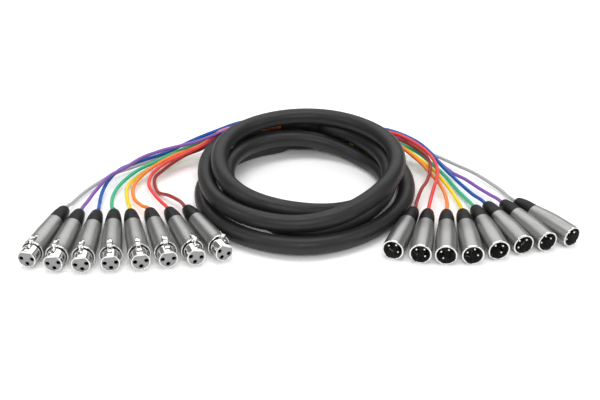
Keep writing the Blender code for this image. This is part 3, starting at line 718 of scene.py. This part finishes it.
def aim(obj, place, target):
    """Put an object at a place, looking at a target."""
    obj.location = place
    direction = Vector(target) - Vector(place)
    obj.rotation_euler = direction.to_track_quat("-Z", "Y").to_euler()


def seen_directly(tree):
    """1 for camera, glossy and transmission rays, 0 for the rays that carry light about."""
    path = add_node(tree, "ShaderNodeLightPath").outputs
    seen = combined(tree, "MAXIMUM", path["Is Camera Ray"], path["Is Glossy Ray"])
    return combined(tree, "MAXIMUM", seen, path["Is Transmission Ray"])


def make_camera():
    """The photograph's view: about 30 degrees down, from the front."""
    data = bpy.data.cameras.new("camera")
    data.lens = CAMERA_LENS
    data.sensor_width = SENSOR_WIDTH
    camera = new_object("camera", data)
    aim(camera, CAMERA_PLACE, CAMERA_AIM)
    bpy.context.scene.camera = camera


def make_world():
    """A plain surround: white to the eye, dimmer as a lamp and darkest in what mirrors it."""
    world = bpy.data.worlds.new("surround")
    bpy.context.scene.world = world
    world.use_nodes = True
    tree = world.node_tree
    tree.nodes.clear()
    path = add_node(tree, "ShaderNodeLightPath")
    room = add_node(tree, "ShaderNodeMapRange", {
        "Value": path.outputs["Is Glossy Ray"], "To Min": WORLD_LEVEL,
        "To Max": WORLD_MIRRORED})
    level = add_node(tree, "ShaderNodeMapRange", {
        "Value": path.outputs["Is Camera Ray"], "To Min": room.outputs["Result"],
        "To Max": 1.0})
    surround = add_node(tree, "ShaderNodeBackground", {
        "Color": (1.0, 1.0, 1.0, 1.0), "Strength": level.outputs["Result"]})
    add_node(tree, "ShaderNodeOutputWorld", {"Surface": surround.outputs["Background"]})


def make_lamps():
    """Large soft lamps above, behind, in front and at both sides."""
    for name, place, target, width, depth, power in LAMPS:
        data = bpy.data.lights.new(name, "AREA")
        data.shape = "RECTANGLE"
        data.size, data.size_y, data.energy = width, depth, power
        aim(new_object(name, data), place, target)


def make_floor():
    """A white table top that fades into the surround and keeps the shadows."""
    material, tree, shader = new_material("floor_paper_white")
    seen = seen_directly(tree)
    level = add_node(tree, "ShaderNodeMix", {
        0: seen, 6: (FLOOR_LIT, FLOOR_LIT, FLOOR_LIT, 1.0),
        7: (FLOOR_SEEN, FLOOR_SEEN, FLOOR_SEEN, 1.0)},
        data_type="RGBA", clamp_result=False, clamp_factor=True)
    diffuse = add_node(tree, "ShaderNodeBsdfDiffuse", {"Color": level.outputs[2]})
    place = add_node(tree, "ShaderNodeTexCoord").outputs["Object"]
    away = add_node(tree, "ShaderNodeVectorMath", {0: place}, operation="LENGTH")
    fade = add_node(tree, "ShaderNodeMapRange", {
        "Value": away.outputs["Value"], "From Min": FLOOR_FADE[0], "From Max": FLOOR_FADE[1]})
    share = combined(tree, "MULTIPLY", fade.outputs["Result"], seen)
    white = add_node(tree, "ShaderNodeEmission", {"Color": (1.0, 1.0, 1.0, 1.0)})
    surface = add_node(tree, "ShaderNodeMixShader", {
        0: share, 1: diffuse.outputs["BSDF"], 2: white.outputs["Emission"]})
    output = next(n for n in tree.nodes if n.type == "OUTPUT_MATERIAL")
    tree.links.new(surface.outputs["Shader"], output.inputs["Surface"])
    tree.nodes.remove(shader)
    half = FLOOR_SIZE / 2
    corner = np.array(((-half, -half), (half, -half), (half, half), (-half, half)))
    points = np.column_stack((corner, np.full(4, -FLOOR_DROP)))
    mesh = bpy.data.meshes.new("floor")
    mesh.from_pydata(points.tolist(), [], [(0, 1, 2, 3)])
    mesh.materials.append(material)
    new_object("floor", mesh)


class SNAKE_OT_stage(bpy.types.Operator):
    """Make the camera, the surround, the lamps and the floor"""
    bl_idname = "snake.stage"
    bl_label = "Stage"

    def execute(self, context):
        context.scene.view_settings.view_transform = "Standard"
        make_camera()
        make_world()
        make_lamps()
        make_floor()
        return {"FINISHED"}


# Cable

class SNAKE_OT_trunk(bpy.types.Operator):
    """Make the coiled trunk"""
    bl_idname = "snake.trunk"
    bl_label = "Trunk"

    def execute(self, context):
        diameter = context.scene.snake_cable.trunk_diameter
        path = through_points(trunk_line(diameter), TRUNK_STEP)
        mesh = tube_mesh("trunk", path, diameter / 2, TRUNK_SEGMENTS)
        trunk = add_piece("trunk", mesh, material_for("trunk"), BODY, ["trunk_cable"])
        return {"FINISHED"}


def lead_line(start, heading, route, placed, tail):
    """A lead's line: straight out of the sleeve, along its route and straight into the boot."""
    out = unit(heading)
    front = np.array(placed.col[2][:3])
    finish = np.array(placed @ Vector((0.0, 0.0, tail - SEAT_GAP)))
    knots = np.vstack((
        start - out * LEAD_TUCK, start + out * LEAD_STRAIGHT_END,
        np.asarray(route, dtype=float) * MM,
        finish - front * LEAD_STRAIGHT_END, finish + front * LEAD_TUCK))
    return through_points(knots, LEAD_STEP)


class SNAKE_OT_leads(bpy.types.Operator):
    """Make the sixteen coloured leads"""
    bl_idname = "snake.leads"
    bl_label = "Leads"

    def execute(self, context):
        scene = context.scene
        sizes = scene.snake_cable
        trunk = trunk_line(sizes.trunk_diameter)
        sides = (
            ("socket", SOCKET_PLUGS, socket_rim(scene.snake_socket), socket_tail(scene.snake_socket),
             SOCKET_LEADS, SOCKET_LEAD_ROUTES, trunk[-1], LEFT_SLEEVE_HEADING, LEFT_SLEEVE_ORDER),
            ("pin", PIN_PLUGS, scene.snake_pin.shell_diameter / 2, pin_tail(scene.snake_pin),
             PIN_LEADS, PIN_LEAD_ROUTES, trunk[0], RIGHT_SLEEVE_HEADING, RIGHT_SLEEVE_ORDER))
        for kind, places, height, tail, tints, routes, end, heading, order in sides:
            exits = lead_exits(end, heading, order, sizes)
            for number, (place, tint, route) in enumerate(zip(places, tints, routes), start=1):
                start = exits[number]
                path = lead_line(start, heading, route, plug_frame(place, height), tail)
                name = f"{kind}_lead_{number}_{tint}"
                mesh = tube_mesh(name, path, sizes.lead_diameter / 2, LEAD_SEGMENTS)
                lead = add_piece(name + "_jacket", mesh, material_for(tint), BODY,
                                 [name])
        return {"FINISHED"}


class SNAKE_OT_sleeves(bpy.types.Operator):
    """Make the sleeve at each end of the trunk"""
    bl_idname = "snake.sleeves"
    bl_label = "Sleeves"

    def execute(self, context):
        sizes = context.scene.snake_cable
        trunk = trunk_line(sizes.trunk_diameter)
        skin = sizes.trunk_diameter / 2 + SLEEVE_SKIN
        tip, reach = sizes.sleeve_tip / 2, sizes.sleeve_length
        outline = rounded((
            (0.0, -SLEEVE_LAP, 0.0),
            (skin, -SLEEVE_LAP, 0.3 * MM),
            (skin, SLEEVE_SHOULDER, 3 * MM),
            (tip, reach - SLEEVE_TAPER_END, 4 * MM),
            (tip, reach, 1.2 * MM),
            (tip - SLEEVE_LIP_WIDTH, reach - SLEEVE_LIP_DEPTH, 0.3 * MM),
            (0.0, reach - SLEEVE_LIP_DEPTH, 0.0)))

        def lobes(angle, z):
            """Dips between the leads: 1 - d w(z) (1 - cos 7a) / 2, deeper towards the tip."""
            share = np.clip((z - SLEEVE_DIP_START) / (reach - SLEEVE_DIP_START - SLEEVE_DIP_END),
                            0.0, 1.0)
            wave = (1 - np.cos(OUTER_LEADS * (angle - math.pi / 2))) / 2
            return 1 - SLEEVE_DIP * share ** 2 * (3 - 2 * share) * wave

        for side, end, heading in (("left", trunk[-1], LEFT_SLEEVE_HEADING),
                                   ("right", trunk[0], RIGHT_SLEEVE_HEADING)):
            name = f"breakout_sleeve_{side}"
            mesh = turned(name, outline, False, lobes=lobes)
            add_piece(name + "_rubber", mesh, material_for("sleeve"), BODY, [name],
                      Matrix(sleeve_frame(end, heading)))
        return {"FINISHED"}


# Plugs

BEAD_PROUD = 0.02 * MM
INSERT_FIT = 0.08 * MM
INSERT_EDGE = 0.1 * MM
CONTACT_ANGLES = (180, 0, 270)
CUT_PAST = 1.0 * MM
BOOT_COLLAR = 1.6 * MM
BOOT_SHOULDER_AT = 11.5 * MM
BOOT_SHOULDER = 14.0 * MM
BOOT_KNUCKLE = 2.6 * MM
BOOT_KNUCKLE_DIAMETER = 11.2 * MM
BOOT_TAIL = 9.2 * MM
BOOT_MOUTH_GAP = 0.35 * MM
BOOT_MOUTH_DEPTH = 1.5 * MM


def boot_mesh(front, sizes, lead_diameter):
    """A boot turned about its axis: collar, long taper, shoulder and a tail dished at the lead."""
    tail = front - sizes.boot_length
    mouth = lead_diameter / 2 + BOOT_MOUTH_GAP
    return turned("boot", rounded((
        (0.0, front, 0.0),
        (sizes.boot_diameter / 2, front, 0.3 * MM),
        (sizes.boot_diameter / 2, front - BOOT_COLLAR, 0.4 * MM),
        (BOOT_SHOULDER / 2, front - BOOT_SHOULDER_AT, 5 * MM),
        (BOOT_KNUCKLE_DIAMETER / 2, tail + BOOT_KNUCKLE, 2 * MM),
        (BOOT_TAIL / 2, tail, 1.0 * MM),
        (mouth, tail, 0.3 * MM),
        (mouth, tail + BOOT_MOUTH_DEPTH, 0.1 * MM),
        (0.0, tail + BOOT_MOUTH_DEPTH, 0.0))), False)


def contact_places(radius):
    """The middles (x, y) of the three contacts."""
    return [(radius * math.cos(math.radians(degrees)), radius * math.sin(math.radians(degrees)))
            for degrees in CONTACT_ANGLES]


def add_copies(kind, places, height, parts):
    """Put each part on every plug; a part is (piece, mesh, material, slot, replaced node).

    A latch rides on its own body, which has its node's name, and all else on the main one.
    """
    for number, place in enumerate(places, start=1):
        placed = plug_frame(place, height)
        for part, mesh, finish, slot, node in parts:
            stands_for = f"{kind}_plug_{number}_{node}"
            add_piece(f"{kind}_plug_{number}_{part}", mesh.copy(), material_for(finish),
                      stands_for if node == "latch" else BODY, [stands_for], placed)


class PlugPieces:
    """What the plugs' operators share: the parts that one names go on every plug of its kind."""

    def execute(self, context):
        scene = context.scene
        if self.kind == "socket":
            places, height = SOCKET_PLUGS, socket_rim(scene.snake_socket)
        else:
            places, height = PIN_PLUGS, scene.snake_pin.shell_diameter / 2
        add_copies(self.kind, places, height, self.parts(scene))
        return {"FINISHED"}


# Socket plugs

RIM_LENGTH = 2.5 * MM
RIM_SLOPE = 2.5 * MM
RIM_STEP = 0.45 * MM
RIM_BEAD = 0.9 * MM
RIM_BEAD_LEAD = 0.2 * MM
SOCKET_WAIST_AT = 28.0 * MM
SOCKET_WAIST_DROP = 1.05 * MM
NOSE_ROOT = 0.5 * MM
INSERT_LENGTH = 24.0 * MM
INSERT_FLAT_HEIGHT = 4.9 * MM
INSERT_FLAT_LENGTH = 30.0 * MM
CONTACT_HOLE_DEPTH = 8.0 * MM
CONTACT_HOLE_CHAMFER = 0.3 * MM
# The contact's lining in its hole: how far it starts from the face, its wall and its fit
CONTACT_SUNK = 1.0 * MM
CONTACT_WALL = 0.45 * MM
CONTACT_FIT = 0.02 * MM
# The bright web across the nose, above the insert's flat
WEB_SUNK = 0.5 * MM
WEB_THICKNESS = 0.8 * MM
WEB_CLEARANCE = 0.1 * MM
WEB_CUT = 5.0 * MM
LATCH_FRONT = 4.5 * MM
LATCH_BRIDGE_GAP = 1.5 * MM
LATCH_THICKNESS = 1.0 * MM
LATCH_SINK = 0.1 * MM
LATCH_TOOTH_HEIGHT = 0.9 * MM
LATCH_TOOTH_RAMP = 1.4 * MM
LATCH_TOOTH_TOP = 1.4 * MM
LATCH_TOOTH_BACK = 0.7 * MM
LATCH_PAD_SET_BACK = 1.2 * MM
LATCH_PAD_HEIGHT = 1.75 * MM
LATCH_PAD_SLOPE = 0.4 * MM
LATCH_PAD_LENGTH = 4.3 * MM
LATCH_TAIL_LENGTH = 2.3 * MM
LATCH_EDGE = 0.22 * MM
SCREW_AT = 23.4 * MM
SCREW_RADIUS = 1.15 * MM
SCREW_SUNK = 0.75 * MM
SCREW_FOOT = 0.5 * MM
SCREW_EDGE = 0.45 * MM
SCREW_CROWN = 0.6 * MM
SCREW_SLOT_WIDTH = 0.28 * MM
SCREW_SLOT_FLOOR = 0.25 * MM
SCREW_SLOT_REACH = 2.0 * MM
SCREW_POCKET = 1.5 * MM
SCREW_POCKET_HEIGHT = 4.0 * MM


def socket_rim(sizes):
    """Outer radius of a socket plug's rim, which lies on the table: its axis is as high."""
    return sizes.nose_diameter / 2 + sizes.recess_width + sizes.rim_wall


def socket_end(sizes):
    """Where a socket plug's shell ends along local Z."""
    return -(sizes.nose_reach + sizes.shell_length)


def socket_tail(sizes):
    """Where a socket plug's boot ends along local Z."""
    return socket_end(sizes) - SEAT_GAP - sizes.boot_length


def latch_back(sizes):
    """Where the latch ends along local Z."""
    return -(sizes.nose_reach + LATCH_PAD_LENGTH + LATCH_TAIL_LENGTH + LATCH_PAD_SET_BACK)


def latch_slot(sizes):
    """The cutter of the latch's slot, from the bridge at the nose's front to past the latch."""
    half = sizes.latch_width / 2 + LATCH_SIDE_GAP
    underside = sizes.nose_diameter / 2 - LATCH_SINK - LATCH_THICKNESS
    return box_mesh("slot", (-half, (INSERT_FLAT_HEIGHT + underside) / 2,
                             latch_back(sizes) - LATCH_END_GAP),
                    (half, socket_rim(sizes) + LATCH_PAD_HEIGHT, LATCH_BRIDGE_GAP - LATCH_FRONT))


def socket_shell_parts(scene):
    """A socket plug's body, rim, nose tube and retaining screw."""
    sizes = scene.snake_socket
    nose = sizes.nose_diameter / 2
    bore = nose - sizes.nose_wall
    gap = nose + sizes.recess_width
    rim = socket_rim(sizes)
    front, end = -sizes.nose_reach, socket_end(sizes)
    floor = front - sizes.recess_depth
    slot = latch_slot(sizes)
    slope_end = RIM_LENGTH + RIM_SLOPE
    body = turned("body", rounded((
        (gap, front - RIM_BEAD_LEAD, 0.1 * MM),
        (rim, front - RIM_BEAD_LEAD, 0.2 * MM),
        (rim, front - RIM_LENGTH, 0.8 * MM),
        (rim - RIM_STEP, front - slope_end, 1.5 * MM),
        (rim - SOCKET_WAIST_DROP, front - SOCKET_WAIST_AT, 6 * MM),
        (bore + sizes.rear_wall, end, 0.3 * MM),
        (bore, end, 0.1 * MM),
        (bore, floor, 0.05 * MM),
        (gap, floor, 0.2 * MM))), True)
    pocket = turned("pocket", rounded((
        (0.0, 0.0, 0.0), (SCREW_POCKET, 0.0, 0.1 * MM), (SCREW_POCKET, SCREW_POCKET_HEIGHT, 0.0),
        (0.0, SCREW_POCKET_HEIGHT, 0.0))), False, SMALL_SEGMENTS)
    surface = rim - RIM_STEP - (SOCKET_WAIST_DROP - RIM_STEP) * (
        SCREW_AT - sizes.nose_reach - slope_end) / (SOCKET_WAIST_AT - slope_end)
    upright = Matrix.Translation((0.0, surface - SCREW_SUNK, -SCREW_AT)) @ Matrix.Rotation(
        -math.pi / 2, 4, "X")
    pocket.transform(upright)
    body = with_tools(body, [slot, pocket])
    bead = turned("bead", rounded((
        (gap, front, 0.25 * MM), (rim, front, 0.4 * MM),
        (rim + BEAD_PROUD, front - RIM_BEAD, 0.1 * MM), (gap, front - RIM_BEAD, 0.1 * MM))), True)
    bead = with_tools(bead, [slot.copy()])
    tube = turned("tube", rounded((
        (bore, 0.0, 0.35 * MM), (nose, 0.0, 0.5 * MM),
        (nose, floor - NOSE_ROOT, 0.1 * MM), (bore, floor - NOSE_ROOT, 0.1 * MM))), True)
    tube = with_tools(tube, [slot.copy()])
    screw = turned("screw", rounded((
        (0.0, -SCREW_FOOT, 0.0), (SCREW_RADIUS, -SCREW_FOOT, 0.0),
        (SCREW_RADIUS, SCREW_EDGE, 0.15 * MM), (0.0, SCREW_CROWN, 0.0))), False, SMALL_SEGMENTS)
    driver = box_mesh("driver", (-SCREW_SLOT_WIDTH / 2, -SCREW_SLOT_REACH, SCREW_SLOT_FLOOR),
                      (SCREW_SLOT_WIDTH / 2, SCREW_SLOT_REACH, SCREW_SLOT_REACH))
    screw = with_tools(screw, [driver])
    screw.transform(upright)
    return (("body", body, "shell", "shell", "shell"), ("rim", bead, "bright", "shell", "shell"),
            ("nose", tube, "bright", "shell", "shell"), ("screw", screw, "bright", "latch", "shell"))


def socket_core_parts(scene):
    """A socket plug's insert, contacts, nose web and boot."""
    sizes = scene.snake_socket
    radius = sizes.nose_diameter / 2 - sizes.nose_wall - INSERT_FIT
    face = -SEAT_GAP
    back = face - INSERT_LENGTH
    hole = sizes.hole_diameter / 2
    depth = face - CONTACT_HOLE_DEPTH
    lining, inside, start = hole - CONTACT_FIT, hole - CONTACT_WALL, face - CONTACT_SUNK
    insert = turned("insert", rounded((
        (0.0, face, 0.0), (radius, face, 0.25 * MM), (radius, back, 0.2 * MM),
        (0.0, back, 0.0))), False)
    tools = [box_mesh("flat", (-2 * radius, INSERT_FLAT_HEIGHT, -INSERT_FLAT_LENGTH),
                      (2 * radius, 2 * radius, CUT_PAST))]
    rings = []
    for middle in contact_places(sizes.contact_radius):
        tools.append(turned("hole", np.array((
            (0.0, CUT_PAST), (hole + CONTACT_HOLE_CHAMFER, CUT_PAST),
            (hole + CONTACT_HOLE_CHAMFER, face), (hole, face - CONTACT_HOLE_CHAMFER),
            (hole, depth), (0.0, depth))), False, SMALL_SEGMENTS, middle))
        rings.append(turned("contact", rounded((
            (inside, start, 0.1 * MM), (lining, start, 0.1 * MM), (lining, depth, 0.0),
            (inside, depth, 0.0))), True, SMALL_SEGMENTS, middle))
    insert = with_tools(insert, tools, bevel=INSERT_EDGE)
    contacts = joined("contacts", rings)
    top = face - WEB_SUNK
    under = top - WEB_THICKNESS
    web = turned("web", rounded((
        (0.0, top, 0.0), (radius, top, 0.1 * MM), (radius, under, 0.1 * MM),
        (0.0, under, 0.0))), False)
    web = with_tools(web, [box_mesh("cut", (-2 * radius, -2 * radius, -WEB_CUT), (
        2 * radius, INSERT_FLAT_HEIGHT + WEB_CLEARANCE, WEB_CUT))])
    boot = boot_mesh(socket_end(sizes) - SEAT_GAP, sizes, scene.snake_cable.lead_diameter)
    return (("insert", insert, "socket_insert", "moulding", "core"),
            ("contacts", contacts, "contact", "moulding", "core"),
            ("web", web, "bright", "moulding", "core"), ("boot", boot, "boot", "moulding", "core"))


def latch_parts(scene):
    """The latch: an arm with a tooth near its front and a pad and a tail behind the rim."""
    sizes = scene.snake_socket
    nose = sizes.nose_diameter / 2
    arm = nose - LATCH_SINK
    underside = arm - LATCH_THICKNESS
    tooth_front = -(LATCH_FRONT + LATCH_TOOTH_RAMP)
    tooth_top = nose + LATCH_TOOTH_HEIGHT
    pad_top = socket_rim(sizes) + LATCH_PAD_HEIGHT
    pad_front = -(sizes.nose_reach + LATCH_PAD_SET_BACK)
    back = latch_back(sizes)
    outline = (
        (-LATCH_FRONT, underside),
        (-LATCH_FRONT, arm),
        (tooth_front, tooth_top),
        (tooth_front - LATCH_TOOTH_TOP, tooth_top),
        (tooth_front - LATCH_TOOTH_TOP - LATCH_TOOTH_BACK, arm),
        (pad_front + LATCH_PAD_SLOPE, arm),
        (pad_front, pad_top - LATCH_PAD_SLOPE),
        (pad_front - LATCH_PAD_LENGTH, pad_top),
        (back, tooth_top),
        (back, underside),
    )
    latch = with_tools(extruded("latch", outline, sizes.latch_width / 2), [], bevel=LATCH_EDGE)
    return (("latch_spring", latch, "bright", "latch", "latch"),)


class SNAKE_OT_socket_shells(PlugPieces, bpy.types.Operator):
    """Make the socket plugs' shells, rims, noses and retaining screws"""
    bl_idname = "snake.socket_shells"
    bl_label = "Socket shells"
    kind = "socket"
    parts = staticmethod(socket_shell_parts)


class SNAKE_OT_socket_cores(PlugPieces, bpy.types.Operator):
    """Make the socket plugs' inserts, contacts, nose webs and boots"""
    bl_idname = "snake.socket_cores"
    bl_label = "Socket inserts and boots"
    kind = "socket"
    parts = staticmethod(socket_core_parts)


class SNAKE_OT_socket_latches(PlugPieces, bpy.types.Operator):
    """Make the socket plugs' sprung latches"""
    bl_idname = "snake.socket_latches"
    bl_label = "Socket latches"
    kind = "socket"
    parts = staticmethod(latch_parts)


# Pin plugs

PIN_RIM_BEAD = 1.3 * MM
PIN_BEAD_LEAD = 0.3 * MM
PIN_BODY_SHY = 0.05 * MM
PIN_NECK_LENGTH = 2.8 * MM
PIN_REAR_WALL = 1.0 * MM
PIN_INNER_STRAIGHT = 26.0 * MM
KEY_DEPTH = 0.4 * MM
KEY_LENGTH = 11.0 * MM
PIN_ROOT = 1.0 * MM
PIN_TAPER = 0.9 * MM
PIN_TIP_SHARE = 0.62
# The groove near the insert's edge: from the bore to its outer and inner edge, top and floor
GROOVE_OUTER = (0.8 * MM, 1.0 * MM)
GROOVE_INNER = (1.6 * MM, 1.9 * MM)
GROOVE_DEPTH = 0.5 * MM
# The collar round a pin's foot: how far it stands out from the pin, at its root and its top
COLLAR_WIDTH = (0.7 * MM, 0.6 * MM)
COLLAR_HEIGHT = 0.5 * MM


def pin_tail(sizes):
    """Where a pin plug's boot ends along local Z."""
    return -sizes.shell_length - SEAT_GAP - sizes.boot_length


def pin_shell_parts(scene):
    """A pin plug's body and rim, with the key slot in both."""
    sizes = scene.snake_pin
    radius = sizes.shell_diameter / 2
    bore = radius - sizes.shell_wall
    rear = sizes.rear_diameter / 2
    neck = rear - PIN_REAR_WALL
    key = box_mesh("key", (-sizes.key_width / 2, bore - sizes.shell_wall, -KEY_LENGTH),
                   (sizes.key_width / 2, bore + KEY_DEPTH, 2 * SEAT_GAP))
    body = turned("body", rounded((
        (bore, -PIN_BEAD_LEAD, 0.1 * MM),
        (radius - PIN_BODY_SHY, -PIN_BEAD_LEAD, 0.3 * MM),
        (radius, -sizes.shell_straight, 8 * MM),
        (rear, -sizes.shell_length, 0.3 * MM),
        (neck, -sizes.shell_length, 0.1 * MM),
        (neck, -sizes.shell_length + PIN_NECK_LENGTH, 0.3 * MM),
        (bore, -PIN_INNER_STRAIGHT, 2 * MM))), True)
    body = with_tools(body, [key])
    bead = turned("bead", rounded((
        (bore, 0.0, 0.35 * MM), (radius, 0.0, 0.6 * MM),
        (radius + BEAD_PROUD, -PIN_RIM_BEAD, 0.15 * MM), (bore, -PIN_RIM_BEAD, 0.1 * MM))), True)
    bead = with_tools(bead, [key.copy()])
    return (("body", body, "shell", "shell", "shell"), ("rim", bead, "bright", "shell", "shell"))


def pin_core_parts(scene):
    """A pin plug's insert with its collars, its pins and its boot."""
    sizes = scene.snake_pin
    bore = sizes.shell_diameter / 2 - sizes.shell_wall
    edge = bore - INSERT_FIT
    face, pin = -sizes.insert_depth, sizes.pin_diameter / 2
    groove, back, root = face - GROOVE_DEPTH, -PIN_INNER_STRAIGHT, face - PIN_ROOT
    tip, rise = face + sizes.pin_length, face + COLLAR_HEIGHT
    insert = [turned("insert", rounded((
        (0.0, face, 0.0), (bore - GROOVE_INNER[0], face, 0.2 * MM),
        (bore - GROOVE_INNER[1], groove, 0.1 * MM), (bore - GROOVE_OUTER[1], groove, 0.1 * MM),
        (bore - GROOVE_OUTER[0], face, 0.2 * MM), (edge, face, 0.2 * MM), (edge, back, 0.2 * MM),
        (0.0, back, 0.0))), False)]
    pins = []
    for middle in contact_places(scene.snake_socket.contact_radius):
        insert.append(turned("collar", rounded((
            (0.0, root, 0.0), (pin + COLLAR_WIDTH[0], root, 0.0),
            (pin + COLLAR_WIDTH[1], rise, 0.2 * MM), (0.0, rise, 0.0))),
            False, SMALL_SEGMENTS, middle))
        pins.append(turned("pin", rounded((
            (0.0, root, 0.0), (pin, root, 0.0), (pin, tip - PIN_TAPER, 0.5 * MM),
            (PIN_TIP_SHARE * pin, tip, 0.6 * MM), (0.0, tip, 0.0))), False, SMALL_SEGMENTS, middle))
    boot = boot_mesh(-sizes.shell_length - SEAT_GAP, sizes, scene.snake_cable.lead_diameter)
    return (("insert", joined("insert", insert), "pin_insert", "moulding", "core"),
            ("pins", joined("pins", pins), "bright", "moulding", "core"),
            ("boot", boot, "boot", "moulding", "core"))


class SNAKE_OT_pin_shells(PlugPieces, bpy.types.Operator):
    """Make the pin plugs' shells and rims"""
    bl_idname = "snake.pin_shells"
    bl_label = "Pin shells"
    kind = "pin"
    parts = staticmethod(pin_shell_parts)


class SNAKE_OT_pin_cores(PlugPieces, bpy.types.Operator):
    """Make the pin plugs' inserts, pins and boots"""
    bl_idname = "snake.pin_cores"
    bl_label = "Pin inserts and boots"
    kind = "pin"
    parts = staticmethod(pin_core_parts)


# Add-on

GROUPS = (
    ("snake_cable", SnakeCableSizes, "Trunk, sleeves and leads"),
    ("snake_socket", SnakeSocketSizes, "Socket plugs"),
    ("snake_pin", SnakePinSizes, "Pin plugs"),
    ("snake_colours", SnakeColours, "Colours"),
)
OPERATORS = (
    SNAKE_OT_stage,
    SNAKE_OT_trunk,
    SNAKE_OT_leads,
    SNAKE_OT_sleeves,
    SNAKE_OT_socket_shells,
    SNAKE_OT_socket_cores,
    SNAKE_OT_socket_latches,
    SNAKE_OT_pin_shells,
    SNAKE_OT_pin_cores,
)


class SNAKE_PT_panel(bpy.types.Panel):
    """Sizes, colours and the steps that make the pieces"""
    bl_idname = "SNAKE_PT_panel"
    bl_label = "Audio snake cable"
    bl_space_type = "VIEW_3D"
    bl_region_type = "UI"
    bl_category = "Snake"

    def draw(self, context):
        for attribute, group, title in GROUPS:
            box = self.layout.box()
            box.label(text=title)
            for key in group.__annotations__:
                box.prop(getattr(context.scene, attribute), key)
        for operator in OPERATORS:
            self.layout.operator(operator.bl_idname)


def register():
    """Register the groups, the operators and the panel."""
    for attribute, group, _title in GROUPS:
        bpy.utils.register_class(group)
        setattr(bpy.types.Scene, attribute, PointerProperty(type=group))
    for operator in OPERATORS:
        bpy.utils.register_class(operator)
    bpy.utils.register_class(SNAKE_PT_panel)


def unregister():
    """Undo register()."""
    bpy.utils.unregister_class(SNAKE_PT_panel)
    for operator in reversed(OPERATORS):
        bpy.utils.unregister_class(operator)
    for attribute, group, _title in reversed(GROUPS):
        delattr(bpy.types.Scene, attribute)
        bpy.utils.unregister_class(group)


def main():
    """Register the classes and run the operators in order."""
    register()
    for operator in OPERATORS:
        group, name = operator.bl_idname.split(".")
        getattr(getattr(bpy.ops, group), name)()


if __name__ == "__main__":
    main()
